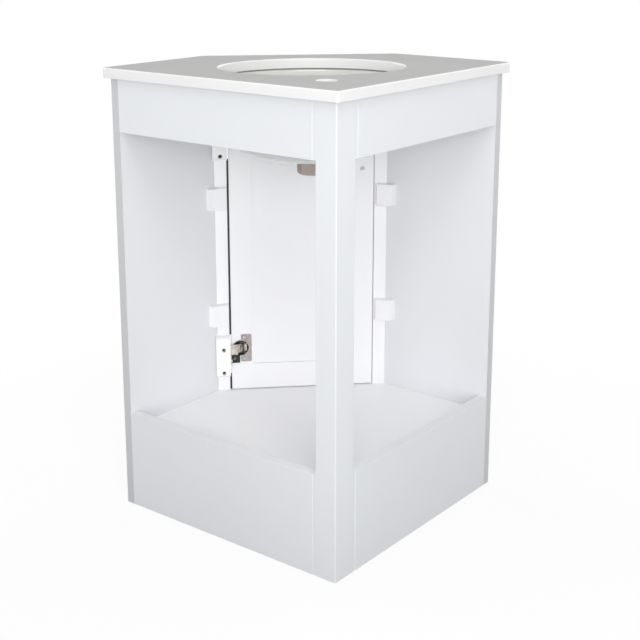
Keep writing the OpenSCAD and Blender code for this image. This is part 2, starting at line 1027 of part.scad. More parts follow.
module cup_screw_places(at_height = true) {
    heights = at_height ? [hinge_z_low, hinge_z_high] : [0];
    for (hinge_z = heights)
        for (end = [-1, 1])
            translate([cup_screw_x, door_t + cup_plate_t, hinge_z + end * cup_screw_pitch / 2])
                rotate([-90, 0, 0])
                    children();
}

module hinge_cup(hinge_z) {
    inner_r = cup_d / 2 - cup_wall;
    at_front()
        translate([0, 0, hinge_z])
            difference() {
                union() {
                    translate([cup_x, door_t - cup_depth, 0])
                        rotate([-90, 0, 0])
                            cylinder(h = cup_depth + cup_rim_t / 2, d = cup_d, $fn = fine);
                    translate([cup_x, door_t, 0])
                        rotate([-90, 0, 0]) {
                            cylinder(h = cup_rim_t, r = cup_d / 2 + cup_rim_w, $fn = fine);
                            linear_extrude(cup_plate_t)
                                polygon(rounded([
                                    [-cup_plate_w, -cup_plate_h / 2],
                                    [0, -cup_plate_h / 2],
                                    [0, cup_plate_h / 2],
                                    [-cup_plate_w, cup_plate_h / 2]
                                ], cup_plate_r));
                        }
                }
                translate([cup_x, door_t - cup_depth + cup_wall, 0])
                    rotate([-90, 0, 0])
                        cylinder(h = cup_depth + cup_plate_t, r = inner_r, $fn = fine);
                cup_screw_places(false)
                    screw_hole(cup_screw_depth);
                link_pin_place()
                    cylinder(h = cup_d, d = link_pin_d + 2 * screw_fit, center = true, $fn = small_fn);
            }
}

module hinge_cup_lower() {
    color("silver")
        hinge_cup(hinge_z_low);
}

module hinge_cup_upper() {
    color("silver")
        hinge_cup(hinge_z_high);
}

module hinge_cup_screws() {
    color("gray")
        at_front()
            cup_screw_places()
                screw(cup_screw_depth, screw_d, cup_screw_head_d, cup_screw_head_h);
}

// The pin that the link hangs on, measured from the hinge centre's height
module link_pin_place() {
    translate([pin_x, pin_y, 0])
        children();
}

module hinge_pins() {
    color("gray")
        at_front()
            for (hinge_z = [hinge_z_low, hinge_z_high])
                translate([0, 0, hinge_z])
                    link_pin_place()
                        cylinder(h = pin_l, d = link_pin_d, center = true, $fn = small_fn);
}

module hinge_links() {
    color("silver")
        at_front()
            for (hinge_z = [hinge_z_low, hinge_z_high])
                translate([0, 0, hinge_z])
                    difference() {
                        union() {
                            translate([arm_centre_x, arm_centre_y, -link_h / 2])
                                ring_sector(link_r0, link_r0 + link_t, link_angles[0], link_angles[1],
                                    link_h);
                            link_pin_place()
                                cylinder(h = link_h, r = link_eye_r, center = true, $fn = round_fn);
                        }
                        link_pin_place()
                            cylinder(h = link_h + 2 * cut, d = link_pin_d + 2 * screw_fit, center = true,
                                $fn = small_fn);
                    }
}

// ---- Knob ----

module knob() {
    head_r = knob_d / 2;
    head_y = knob_l - knob_head_t;
    color("silver")
        at_front()
            translate([knob_x, 0, knob_z])
                rotate([90, 0, 0])
                    rotate_extrude($fn = fine)
                        difference() {
                            polygon([
                                [0, 0],
                                [knob_foot_d / 2, 0],
                                [knob_foot_d / 2, knob_foot_t],
                                [knob_neck_r0, knob_foot_t + knob_flare],
                                [knob_neck_d / 2, head_y / 2],
                                [knob_neck_r0, head_y - knob_flare],
                                [head_r - knob_flare, head_y],
                                [head_r, head_y + knob_flare],
                                [head_r, knob_l - knob_crown_t],
                                [head_r - knob_flare / 2, knob_l - knob_flare / 2],
                                [head_r - 2 * knob_flare, knob_l],
                                [0, knob_l]
                            ]);
                            translate([-cut, -cut])
                                square([knob_screw_d / 2 + screw_fit + cut, knob_thread_l + tip_gap + cut]);
                        }
}

module knob_screw() {
    color("gray")
        at_front()
            translate([knob_x, door_t, knob_z])
                rotate([-90, 0, 0])
                    screw(door_t + knob_thread_l, knob_screw_d, knob_screw_head_d);
}

// ---- Top and basin ----

module countertop() {
    outline = corner_plan(slab_overhang, slab_front_overhang);
    top_z = slab_z + slab_t;
    color("gainsboro")
        difference() {
            from_corner()
                difference() {
                    board(rounded(outline, slab_corner_r), slab_z, top_z);
                    for (i = [0:len(outline) - 1])
                        bevel_cut(outline[i], outline[(i + 1) % len(outline)], top_z, slab_bevel);
                }
            at_basin()
                translate([0, 0, slab_z - cut])
                    scale([1, basin_half_d / basin_half_w, 1])
                        cylinder(h = slab_t + 2 * cut, r = basin_half_w, $fn = fine);
            translate([0, corner_y - tap_hole_at, slab_z - cut])
                cylinder(h = slab_t + 2 * cut, d = tap_hole_d, $fn = fine);
            clip_places()
                translate([clip_gap + clip_t + clip_foot / 2, 0, 0])
                    cylinder(h = clip_screw_depth + tip_gap, d = screw_d + 2 * screw_fit, $fn = small_fn);
        }
}

// A shell lofted through oval rings: inside, under the drain boss, outside, and round the flange
module basin_shell() {
    n = bowl_sides;
    under_z = -bowl_depth - bowl_wall;
    boss_z = under_z - drain_boss_l;
    boss_r = drain_boss_d / 2;
    inside = bowl_section(0, 0, bowl_depth);
    outside = bowl_section(bowl_wall, -flange_t, bowl_depth + bowl_wall);
    boss_edge = [for (i = [0:boss_steps])
        let (t = -90 + 90 * i / boss_steps)
        [boss_r - drain_boss_r * (1 - cos(t)), boss_z + drain_boss_r * (1 + sin(t))]];
    rings = concat(
        [for (s = inside) oval_ring(s[0], s[1], s[2])],
        [for (e = boss_edge) oval_ring(e[0], e[0], e[1])],
        [oval_ring(boss_r, boss_r, under_z)],
        [for (i = [bowl_steps:-1:0]) oval_ring(outside[i][0], outside[i][1], outside[i][2])],
        [oval_ring(flange_half_w, flange_half_d, -flange_t)],
        [oval_ring(flange_half_w, flange_half_d, 0)]
    );
    count = len(rings);
    // Between the inside and the boss, fans round two middle points close the shell
    seam = bowl_steps;
    floor_middle = [0, 0, -bowl_depth];
    boss_middle = [0, 0, boss_z];
    faces = concat(
        [for (k = [0:count - 1])
            if (k != seam)
                for (i = [0:n - 1])
                    for (half = [0, 1])
                        let (
                            a = k * n + i,
                            b = k * n + (i + 1) % n,
                            c = ((k + 1) % count) * n + (i + 1) % n,
                            d = ((k + 1) % count) * n + i
                        )
                        half == 0 ? [a, b, c] : [a, c, d]],
        [for (i = [0:n - 1]) [seam * n + i, seam * n + (i + 1) % n, count * n]],
        [for (i = [0:n - 1]) [(seam + 1) * n + (i + 1) % n, (seam + 1) * n + i, count * n + 1]]
    );
    polyhedron(points = concat([for (r = rings) each r], [floor_middle, boss_middle]), faces = faces);
}

module basin() {
    floor_z = -bowl_depth;
    boss_z = floor_z - bowl_wall - drain_boss_l;
    color("white")
        at_basin()
            translate([0, 0, flange_z])
                difference() {
                    basin_shell();
                    translate([0, 0, boss_z - cut])
                        cylinder(h = bowl_wall + drain_boss_l + 2 * cut, d = drain_d, $fn = fine);
                    translate([0, 0, floor_z - drain_seat_depth])
                        cylinder(h = drain_seat_depth + cut, d = drain_seat_d, $fn = fine);
                }
}

module basin_sealant() {
    inner_w = rim_half_w + seal_setback;
    inner_d = rim_half_d + seal_setback;
    color("dimgray")
        at_basin()
            translate([0, 0, flange_z])
                difference() {
                    scale([1, (inner_d + seal_w) / (inner_w + seal_w), 1])
                        cylinder(h = seal_t, r = inner_w + seal_w, $fn = fine);
                    translate([0, 0, -cut])
                        scale([1, inner_d / inner_w, 1])
                            cylinder(h = seal_t + 2 * cut, r = inner_w, $fn = fine);
                }
}

// The clips' places: x runs outwards from the flange's edge, and z is measured from the top's underside
module clip_places() {
    at_basin()
        for (t = [clip_angle, 180 - clip_angle, 180 + clip_angle, 360 - clip_angle])
            translate([flange_half_w * cos(t), flange_half_d * sin(t), slab_z])
                rotate([0, 0, atan2(sin(t) / flange_half_d, cos(t) / flange_half_w)])
                    children();
}

module basin_clips() {
    under = -seal_t - flange_t;
    color("silver")
        clip_places()
            difference() {
                translate([0, clip_w / 2, 0])
                    rotate([90, 0, 0])
                        linear_extrude(clip_w)
                            polygon([
                                [-clip_reach, under],
                                [clip_gap, under],
                                [clip_gap, 0],
                                [clip_gap + clip_t + clip_foot, 0],
                                [clip_gap + clip_t + clip_foot, -clip_t],
                                [clip_gap + clip_t, -clip_t],
                                [clip_gap + clip_t, under - clip_t],
                                [-clip_reach, under - clip_t]
                            ]);
                translate([clip_gap + clip_t + clip_foot / 2, 0, -clip_t - cut])
                    cylinder(h = clip_t + 2 * cut, d = screw_d + 2 * screw_fit, $fn = small_fn);
            }
}

module basin_clip_screws() {
    color("gray")
        clip_places()
            translate([clip_gap + clip_t + clip_foot / 2, 0, -clip_t])
                rotate([180, 0, 0])
                    screw(clip_screw_depth + clip_t);
}

countertop();
basin();
basin_sealant();
basin_clips();
basin_clip_screws();
side_panel_left();
side_panel_right();
back_rail_top_left();
back_rail_top_right();
back_rail_bottom_left();
back_rail_bottom_right();
corner_post_wide();
corner_post_narrow();
frame_stile_left();
frame_stile_right();
frame_head_rail();
toe_board();
floor_panel();
floor_cleats();
joint_dowels();
glue_blocks();
hinge_block_lower();
hinge_block_upper();
hinge_block_screws();
hinge_arm_lower();
hinge_arm_upper();
hinge_arm_screws();
hinge_adjusters();
door_stile_latch();
door_stile_hinge();
door_rail_top();
door_rail_bottom();
door_panel();
hinge_cup_lower();
hinge_cup_upper();
hinge_cup_screws();
hinge_pins();
hinge_links();
knob();
knob_screw();
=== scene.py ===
"""Looks of the corner vanity unit: finishes, modelled pieces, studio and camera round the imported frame."""

import json
import logging
import math
from collections.abc import Callable
from dataclasses import dataclass, field
from enum import Enum
from functools import partial

import bmesh
import bpy
from mathutils import Euler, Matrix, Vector

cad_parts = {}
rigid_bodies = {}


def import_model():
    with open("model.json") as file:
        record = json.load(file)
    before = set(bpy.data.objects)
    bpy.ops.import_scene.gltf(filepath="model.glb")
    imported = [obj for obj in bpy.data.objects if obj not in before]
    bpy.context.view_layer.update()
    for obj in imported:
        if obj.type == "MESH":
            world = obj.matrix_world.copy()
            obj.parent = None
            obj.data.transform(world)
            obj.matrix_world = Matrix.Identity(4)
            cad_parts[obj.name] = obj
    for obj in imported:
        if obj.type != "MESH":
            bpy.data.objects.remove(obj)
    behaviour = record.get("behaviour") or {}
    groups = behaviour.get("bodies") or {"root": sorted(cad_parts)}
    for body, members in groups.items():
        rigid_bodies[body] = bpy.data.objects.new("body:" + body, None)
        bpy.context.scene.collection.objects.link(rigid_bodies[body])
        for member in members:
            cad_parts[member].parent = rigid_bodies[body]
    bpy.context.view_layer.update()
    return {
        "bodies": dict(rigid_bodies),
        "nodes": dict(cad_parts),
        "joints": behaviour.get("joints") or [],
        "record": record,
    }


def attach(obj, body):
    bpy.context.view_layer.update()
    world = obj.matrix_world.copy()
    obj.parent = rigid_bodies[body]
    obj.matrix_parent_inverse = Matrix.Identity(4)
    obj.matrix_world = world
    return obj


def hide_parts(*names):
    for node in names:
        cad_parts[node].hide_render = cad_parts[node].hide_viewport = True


logging.basicConfig(level=logging.INFO, format="%(message)s")
LOG = logging.getLogger("vanity")

MM = 0.001
Y_AXIS = 1
Z_AXIS = 2
ALONG = 0.99  # the least share of an edge's direction that counts as along an axis
ONTO_Y = (-90.0, 0.0, 0.0)  # turns a loft from the Z axis onto the Y axis

Srgb = tuple[int, int, int]
Rgba = tuple[float, float, float, float]
Span = tuple[float, float]
Triple = tuple[float, float, float]
Material = bpy.types.Material
Node = bpy.types.Node
Socket = bpy.types.NodeSocket
GroupTree = bpy.types.ShaderNodeTree
Piece = bpy.types.Object
Edge = bmesh.types.BMEdge


class Body(Enum):
    """The two rigid bodies of the unit."""

    CABINET = "cabinet"
    DOOR = "door"


class Slot(Enum):
    """The record's material slots."""

    STONE = "stone_top"
    WARE = "ware"
    SEALANT = "sealant"
    ZINC = "zinc_steel"
    DARK = "dark_steel"
    NICKEL = "nickel_steel"
    BOARD = "lacquered_board"
    WOOD = "bare_wood"


class Boolean(Enum):
    """What a boolean does with its tool."""

    CUT = "DIFFERENCE"
    FUSE = "UNION"


# ---- Node helpers ----


def linear(*srgb: int) -> Rgba:
    """Turns display red, green and blue of 0 to 255 into the linear RGBA that a socket takes."""
    return (*(((c / 255 + 0.055) / 1.055) ** 2.4 for c in srgb), 1.0)


def shade(srgb: Srgb, *factors: float) -> Rgba:
    """Turns a display colour into linear RGBA, darker or lighter.

    Args:
        srgb: the display colour.
        factors: one factor for all channels, or one for each. No channel passes 1.

    Returns:
        The colour that a shader socket takes.
    """
    each = factors * 3 if len(factors) == 1 else factors
    return (*(min(1.0, c * k) for c, k in zip(linear(*srgb), each)), 1.0)


@dataclass
class NodeSheet:
    """A node tree with short ways to add and join its nodes."""

    tree: bpy.types.NodeTree

    def put(self, value: object, socket: Socket) -> None:
        """Joins or sets one input.

        Args:
            value: a value, or another node's socket.
            socket: the input.
        """
        if isinstance(value, Socket):
            self.tree.links.new(value, socket)
        else:
            socket.default_value = value

    def add(self, kind: str, **values: object) -> Node:
        """Adds a node and sets its own properties.

        Args:
            kind: the node's type, without "ShaderNode".
            values: properties of the node.

        Returns:
            The node.
        """
        node = self.tree.nodes.new(f"ShaderNode{kind}")
        for name, value in values.items():
            setattr(node, name, value)
        return node

    def feed(self, node: Node, **inputs: object) -> Node:
        """Sets or joins a node's inputs by name, where an underscore stands for a space.

        Args:
            node: the node to feed.
            inputs: values, or sockets of other nodes.

        Returns:
            The same node.
        """
        for name, value in inputs.items():
            self.put(value, node.inputs[name.replace("_", " ")])
        return node

    def group(self, tree: GroupTree, **inputs: float) -> bpy.types.NodeOutputs:
        """Places a shared group and gives its outputs, where an underscore stands for a space."""
        return self.feed(self.add("Group", node_tree=tree), **inputs).outputs

    def place(self) -> Socket:
        """The place in the object that is shaded."""
        return self.add("TexCoord").outputs["Object"]

    def math(self, operation: str, *values: object) -> Socket:
        """A calculation with one or two numbers.

        Args:
            operation: the Math node's operation.
            values: numbers or sockets, in order.

        Returns:
            The result's socket.
        """
        node = self.add("Math", operation=operation)
        for value, socket in zip(values, node.inputs):
            self.put(value, socket)
        return node.outputs[0]

    def mix(self, factor: object, low: object, high: object) -> Socket:
        """A mix of two colours.

        Args:
            factor: a value or socket, 0 for low and 1 for high.
            low: a colour or socket.
            high: a colour or socket.

        Returns:
            The mixed colour's socket.
        """
        node = self.add("Mix", data_type="RGBA")
        for index, value in ((0, factor), (6, low), (7, high)):
            self.put(value, node.inputs[index])
        return node.outputs[2]

    def remap(self, value: Socket, low: float, high: float, to: Span = (0.0, 1.0)) -> Socket:
        """A value carried from one range to another and clamped.

        Args:
            value: the socket to carry.
            low: the range's start.
            high: the range's end.
            to: the new range.

        Returns:
            The new value's socket.
        """
        node = self.add("MapRange", clamp=True)
        self.feed(node, Value=value, From_Min=low, From_Max=high, To_Min=to[0], To_Max=to[1])
        return node.outputs["Result"]

    def bump(self, strength: float, distance: float, height: Socket, **normal: Socket) -> Socket:
        """A normal bent by a height.

        Args:
            strength: the share of the effect.
            distance: the height's reach in metres.
            height: the height's socket.
            normal: the normal to bend, as Normal, where it isn't the surface's own.

        Returns:
            The bent normal's socket.
        """
        node = self.feed(
            self.add("Bump"), Strength=strength, Distance=distance, Height=height, **normal
        )
        return node.outputs["Normal"]

    def seen(self) -> Socket:
        """A value that is 1 where the camera, a reflection or a clear material looks.

        Returns:
            The value's socket.
        """
        path = self.add("LightPath").outputs
        looks = self.math("MAXIMUM", path["Is Camera Ray"], path["Is Glossy Ray"])
        return self.math("MAXIMUM", looks, path["Is Transmission Ray"])

    def blend(self, share: Socket, first: Node, second: Node, out: Node) -> None:
        """Joins two shaders to an output by a share.

        Args:
            share: 0 for the first shader and 1 for the second.
            first: the first shader.
            second: the second shader.
            out: the output node.
        """
        mix = self.add("MixShader")
        for value, socket in zip((share, first.outputs[0], second.outputs[0]), mix.inputs):
            self.put(value, socket)
        self.feed(out, Surface=mix.outputs[0])


@dataclass
class GroupSheet(NodeSheet):
    """A node group that is being built, with its two ends."""

    source: Node
    sink: Node


def new_group(name: str, inputs: dict[str, float], outputs: dict[str, str]) -> GroupSheet:
    """An empty node group with number inputs and the named outputs.

    Args:
        name: the group's name.
        inputs: number inputs and their usual values.
        outputs: outputs and their socket types, without "NodeSocket".

    Returns:
        The group's sheet, with its input and output nodes in it.
    """
    tree = bpy.data.node_groups.new(name, "ShaderNodeTree")
    for label, value in inputs.items():
        socket = tree.interface.new_socket(label, in_out="INPUT", socket_type="NodeSocketFloat")
        socket.default_value = value
    for label, kind in outputs.items():
        tree.interface.new_socket(label, in_out="OUTPUT", socket_type=f"NodeSocket{kind}")
    return GroupSheet(tree, tree.nodes.new("NodeGroupInput"), tree.nodes.new("NodeGroupOutput"))


class Effects:
    """Node groups that several finishes share, each built once."""

    ends_from: float = 365 * MM
    drawn_out: float = 0.03

    def __init__(self) -> None:
        """Builds every shared group."""
        self.eased = self._eased_edges()
        self.cloudy = self._cloudy()
        self.brushed = self._brushed()
        self.board_ends = self._board_ends()

    def _eased_edges(self) -> GroupTree:
        """A normal rounded over each edge, and a mask that is 1 on those edges.

        Returns:
            The group's tree.
        """
        sheet = new_group("eased edges", {"Radius": 1.2 * MM}, {"Normal": "Vector", "Mask": "Float"})
        bevel = sheet.feed(sheet.add("Bevel", samples=6), Radius=sheet.source.outputs["Radius"])
        facing = sheet.add("VectorMath", operation="DOT_PRODUCT")
        sheet.put(bevel.outputs["Normal"], facing.inputs[0])
        sheet.put(sheet.add("NewGeometry").outputs["Normal"], facing.inputs[1])
        # the mask runs from flat faces to fully rounded edges; the finishes mix a lighter colour there, in
        # part a painted highlight
        flat, worn = 0.995, 0.86
        mask = sheet.remap(facing.outputs["Value"], flat, worn)
        sheet.feed(sheet.sink, Normal=bevel.outputs["Normal"], Mask=mask)
        return sheet.tree

    def _cloudy(self) -> GroupTree:
        """Broad and fine cloudiness of a surface, as two masks from 0 to 1.

        Returns:
            The group's tree.
        """
        scales = {"Broad Scale": 3.0, "Fine Scale": 260.0}
        sheet = new_group("cloudy", scales, {"Broad": "Float", "Fine": "Float"})
        place = sheet.place()
        for label, detail in (("Broad", 3.0), ("Fine", 2.0)):
            scale = sheet.source.outputs[f"{label} Scale"]
            noise = sheet.feed(sheet.add("TexNoise"), Vector=place, Scale=scale, Detail=detail)
            sheet.feed(sheet.sink, **{label: sheet.remap(noise.outputs["Fac"], 0.3, 0.7)})
        return sheet.tree

    def _board_ends(self) -> GroupTree:
        """A mask that is 1 on the banded ends of the side panels, which face the two walls.

        Returns:
            The group's tree.
        """
        sheet = new_group("board ends", {"Sharpness": 0.9}, {"Mask": "Float"})
        normal, place = sheet.add("SeparateXYZ"), sheet.add("SeparateXYZ")
        sheet.put(sheet.add("NewGeometry").outputs["Normal"], normal.inputs[0])
        sheet.put(sheet.place(), place.inputs[0])
        both = sheet.math("ADD", sheet.math("ABSOLUTE", normal.outputs["X"]), normal.outputs["Y"])
        facing = sheet.math("MULTIPLY", both, math.sqrt(0.5))
        above = sheet.math("GREATER_THAN", facing, sheet.source.outputs["Sharpness"])
        across = sheet.math("ABSOLUTE", place.outputs["X"])
        outside = sheet.math("GREATER_THAN", across, self.ends_from)
        sheet.feed(sheet.sink, Mask=sheet.math("MULTIPLY", above, outside))
        return sheet.tree

    def _brushed(self) -> GroupTree:
        """Fine drawn lines along Z and a blotchy tarnish, as masks from 0 to 1.

        Returns:
            The group's tree.
        """
        scales = {"Lines": 900.0, "Blotch": 60.0}
        sheet = new_group("brushed", scales, {"Streak": "Float", "Tarnish": "Float"})
        place = sheet.place()
        drawn = sheet.feed(sheet.add("Mapping"), Vector=place, Scale=(1.0, 1.0, self.drawn_out))
        for scale, label, vector, detail in (
            ("Lines", "Streak", drawn.outputs["Vector"], 1.0),
            ("Blotch", "Tarnish", place, 4.0),
        ):
            noise = sheet.feed(
                sheet.add("TexNoise"), Vector=vector, Scale=sheet.source.outputs[scale], Detail=detail
            )
            sheet.feed(sheet.sink, **{label: sheet.remap(noise.outputs["Fac"], 0.35, 0.65)})
        return sheet.tree


@dataclass
class Coat(NodeSheet):
    """A material's sheet, with its shader and the shared groups."""

    shader: Node
    effects: Effects

    def dress(self, tone: Socket, normal: Socket, **constants: object) -> None:
        """Gives the shader its colour, its normal and any other inputs."""
        self.feed(self.shader, Base_Color=tone, Normal=normal, **constants)


@dataclass(frozen=True)
class Finish:
    """What all finishes share: a name, a colour, how rough it is and how it is made."""

    name: str
    colour: Srgb
    rough: float

    def build(self, effects: Effects) -> Material:
        """Makes the material.

        Args:
            effects: the shared node groups.

        Returns:
            The finished material.
        """
        material = bpy.data.materials.new(self.name)
        material.use_nodes = True
        tree = material.node_tree
        coat = Coat(tree, tree.nodes["Principled BSDF"], effects)
        coat.feed(coat.shader, Base_Color=linear(*self.colour), Roughness=self.rough)
        self._paint(coat)
        return material

    def _paint(self, coat: Coat) -> None:
        """Adds what makes the finish more than a plain colour, where it has that."""


@dataclass(frozen=True)
class Lacquer(Finish):
    """Sprayed satin lacquer: a faint orange peel, broad tone changes and a painted highlight along its
    rounded edges.
    """

    edge_radius: float = 0.6 * MM
    peel: float = 0.02 * MM
    end_tone: float = 1.0
    dull: float = 0.975
    # how much lighter the painted highlight on the rounded edges is
    edge_highlight: float = 1.01

    def _paint(self, coat: Coat) -> None:
        """Adds the peel, the tones, the painted edge highlight and the banded ends.

        Args:
            coat: the material that is being made.
        """
        cloudy = coat.group(coat.effects.cloudy, Broad_Scale=2.2, Fine_Scale=420.0)
        edges = coat.group(coat.effects.eased, Radius=self.edge_radius)
        tone = coat.mix(cloudy["Broad"], shade(self.colour, self.dull), linear(*self.colour))
        # painted highlight: the rounded edges take a lighter copy of the colour
        tone = coat.mix(edges["Mask"], tone, shade(self.colour, self.edge_highlight))
        if self.end_tone < 1.0:
            banded = shade(self.colour, self.dull * self.end_tone)
            tone = coat.mix(coat.group(coat.effects.board_ends)["Mask"], tone, banded)
        rough = coat.remap(cloudy["Broad"], 0.0, 1.0, (self.rough * 0.9, self.rough * 1.12))
        normal = coat.bump(0.35, self.peel, cloudy["Fine"], Normal=edges["Normal"])
        coat.dress(tone, normal, Roughness=rough, Coat_Weight=0.25, Coat_Roughness=0.18)


@dataclass(frozen=True)
class Stone(Finish):
    """Fine-grained cast stone: crowded specks in a cloudy ground, honed."""

    speck: Srgb = (182, 182, 180)
    speck_scale: float = 900.0
    speck_size: Span = (0.12, 0.34)
    speck_share: float = 0.55
    warm: float = 0.965
    gloss: float = 0.5

    def _paint(self, coat: Coat) -> None:
        """Adds the clouds and the specks.

        Args:
            coat: the material that is being made.
        """
        place = coat.place()
        cloudy = coat.group(coat.effects.cloudy, Broad_Scale=7.0, Fine_Scale=500.0)
        grains = coat.feed(coat.add("TexVoronoi"), Vector=place, Scale=self.speck_scale)
        speckled = coat.remap(grains.outputs["Distance"], *self.speck_size, (self.speck_share, 0.0))
        tone = coat.mix(cloudy["Broad"], shade(self.colour, self.warm), linear(*self.colour))
        tone = coat.mix(speckled, tone, linear(*self.speck))
        rough = coat.remap(cloudy["Fine"], 0.0, 1.0, (self.rough * 0.85, self.rough * 1.2))
        coat.feed(coat.shader, Base_Color=tone, Roughness=rough, Specular_IOR_Level=self.gloss)


@dataclass(frozen=True)
class Ware(Finish):
    """Glazed ware: a deep clear coat over white, with a very slight waviness."""

    waviness: float = 0.3 * MM
    warm: Triple = (1.0, 0.99, 0.965)

    def _paint(self, coat: Coat) -> None:
        """Adds the warm clouds and the glaze.

        Args:
            coat: the material that is being made.
        """
        cloudy = coat.group(coat.effects.cloudy, Broad_Scale=14.0, Fine_Scale=90.0)
        tone = coat.mix(cloudy["Broad"], linear(*self.colour), shade(self.colour, *self.warm))
        normal = coat.bump(0.5, self.waviness, cloudy["Broad"])
        coat.dress(tone, normal, Coat_Weight=0.8, Coat_Roughness=0.04)


@dataclass(frozen=True)
class Grainy(Finish):
    """A matt, grainy surface, such as unglazed ware or sealant drawn by a finger."""

    broad: float = 45.0
    fine: float = 700.0
    dark: float = 0.72
    relief: float = 0.7
    grain: float = 0.4 * MM

    def _paint(self, coat: Coat) -> None:
        """Adds the dark clouds and the grain.

        Args:
            coat: the material that is being made.
        """
        cloudy = coat.group(coat.effects.cloudy, Broad_Scale=self.broad, Fine_Scale=self.fine)
        tone = coat.mix(cloudy["Broad"], shade(self.colour, self.dark), linear(*self.colour))
        coat.dress(tone, coat.bump(self.relief, self.grain, cloudy["Fine"]))


@dataclass(frozen=True)
class Steel(Finish):
    """Plated steel: drawn lines, blotchy tarnish and lighter rounded edges, in part wear and in part a
    painted highlight.
    """

    tarnish: Srgb = (120, 112, 98)
    tarnish_share: float = 0.5
    edge_radius: float = 0.4 * MM
    worn: float = 1.25
    line_depth: float = 0.03 * MM

    def _paint(self, coat: Coat) -> None:
        """Adds the lines, the tarnish and the edges.

        Args:
            coat: the material that is being made.
        """
        brushed = coat.group(coat.effects.brushed, Lines=2600.0, Blotch=160.0)
        edges = coat.group(coat.effects.eased, Radius=self.edge_radius)
        share = coat.remap(brushed["Tarnish"], 0.0, 1.0, (0.0, self.tarnish_share))
        tone = coat.mix(share, linear(*self.colour), linear(*self.tarnish))
        # lighter rounded edges: in part wear, in part a painted highlight
        tone = coat.mix(edges["Mask"], tone, shade(self.colour, self.worn))
        rough = coat.remap(brushed["Streak"], 0.0, 1.0, (self.rough * 0.75, self.rough * 1.3))
        normal = coat.bump(0.25, self.line_depth, brushed["Streak"], Normal=edges["Normal"])
        coat.dress(tone, normal, Roughness=rough, Metallic=1.0)


@dataclass(frozen=True)
class Wood(Finish):
    """Bare softwood: rings drawn out along the grain."""

    late: Srgb = (176, 132, 84)
    drawn_out: float = 6.0
    pore: float = 0.2 * MM

    def _paint(self, coat: Coat) -> None:
        """Adds the rings and the pores.

        Args:
            coat: the material that is being made.
        """
        scale = (1.0, 1.0, self.drawn_out)
        along = coat.feed(coat.add("Mapping"), Vector=coat.place(), Scale=scale)
        rings = coat.add("TexWave", wave_type="BANDS", bands_direction="Z")
        coat.feed(rings, Vector=along.outputs["Vector"], Scale=9.0, Distortion=5.0, Detail=3.0)
        cloudy = coat.group(coat.effects.cloudy, Broad_Scale=20.0, Fine_Scale=380.0)
        tone = coat.mix(rings.outputs["Fac"], linear(*self.colour), linear(*self.late))
        coat.dress(tone, coat.bump(0.4, self.pore, cloudy["Fine"]))


@dataclass(frozen=True)
class Rubber(Finish):
    """Dark moulded rubber or plastic: matt, finely grained and dusty where it stands proud; its black gives
    the painted shade in the door gap and round the hinge adjuster.
    """

    dust: Srgb = (96, 97, 99)
    edge_radius: float = 0.5 * MM
    pale: float = 1.5
    grain: float = 0.06 * MM

    def _paint(self, coat: Coat) -> None:
        """Adds the grain and the dust.

        Args:
            coat: the material that is being made.
        """
        cloudy = coat.group(coat.effects.cloudy, Broad_Scale=120.0, Fine_Scale=1400.0)
        edges = coat.group(coat.effects.eased, Radius=self.edge_radius)
        tone = coat.mix(cloudy["Broad"], linear(*self.colour), shade(self.colour, self.pale))
        tone = coat.mix(edges["Mask"], tone, linear(*self.dust))
        coat.dress(tone, coat.bump(0.4, self.grain, cloudy["Fine"], Normal=edges["Normal"]))


# ---- Modelling helpers ----


def deselect() -> None:
    """Leaves object mode and deselects everything."""
    if bpy.context.object and bpy.context.object.mode != "OBJECT":
        bpy.ops.object.mode_set(mode="OBJECT")
    bpy.ops.object.select_all(action="DESELECT")


def activate(piece: Piece, mode: str = "OBJECT") -> None:
    """Makes a piece the only one that is selected.

    Args:
        piece: the piece.
        mode: the mode to enter with it.
    """
    deselect()
    piece.select_set(True)
    bpy.context.view_layer.objects.active = piece
    bpy.ops.object.mode_set(mode=mode)


def settle(piece: Piece) -> Piece:
    """Moves a piece's place, turn and scale into its mesh.

    Args:
        piece: the piece to settle.

    Returns:
        The same piece, with its object at the origin.
    """
    activate(piece)
    bpy.ops.object.transform_apply(location=True, rotation=True, scale=True)
    return piece


def placed(piece: Piece, at: Vector, turn: Triple = (0.0, 0.0, 0.0)) -> Piece:
    """Turns a piece about the origin, moves it and settles it.

    Args:
        piece: the piece.
        at: where its origin goes.
        turn: angles about X, Y and Z in degrees.

    Returns:
        The piece.
    """
    piece.rotation_euler = Euler([math.radians(angle) for angle in turn])
    piece.location = at
    return settle(piece)


def apply_modifiers(piece: Piece) -> None:
    """Applies every modifier of a piece, in order.

    Args:
        piece: the piece.
    """
    activate(piece)
    for modifier in list(piece.modifiers):
        bpy.ops.object.modifier_apply(modifier=modifier.name)


def smooth(piece: Piece, degrees: float = 35.0, flat_faces: bool = False) -> None:
    """Shades a piece smooth, apart from edges sharper than an angle.

    Args:
        piece: the piece.
        degrees: the angle.
        flat_faces: whether its large faces stay flat up to their rounded edges.
    """
    activate(piece)
    bpy.ops.object.shade_smooth_by_angle(angle=math.radians(degrees))
    if flat_faces:
        weighted = piece.modifiers.new("weighted", "WEIGHTED_NORMAL")
        weighted.keep_sharp = True
        weighted.weight = 100
        apply_modifiers(piece)


def face_outwards(piece: Piece) -> None:
    """Merges doubles and turns every face outwards.

    Args:
        piece: the piece.
    """
    activate(piece, "EDIT")
    bpy.ops.mesh.select_all(action="SELECT")
    bpy.ops.mesh.remove_doubles(threshold=MM / 1000)
    bpy.ops.mesh.normals_make_consistent(inside=False)
    bpy.ops.object.mode_set(mode="OBJECT")


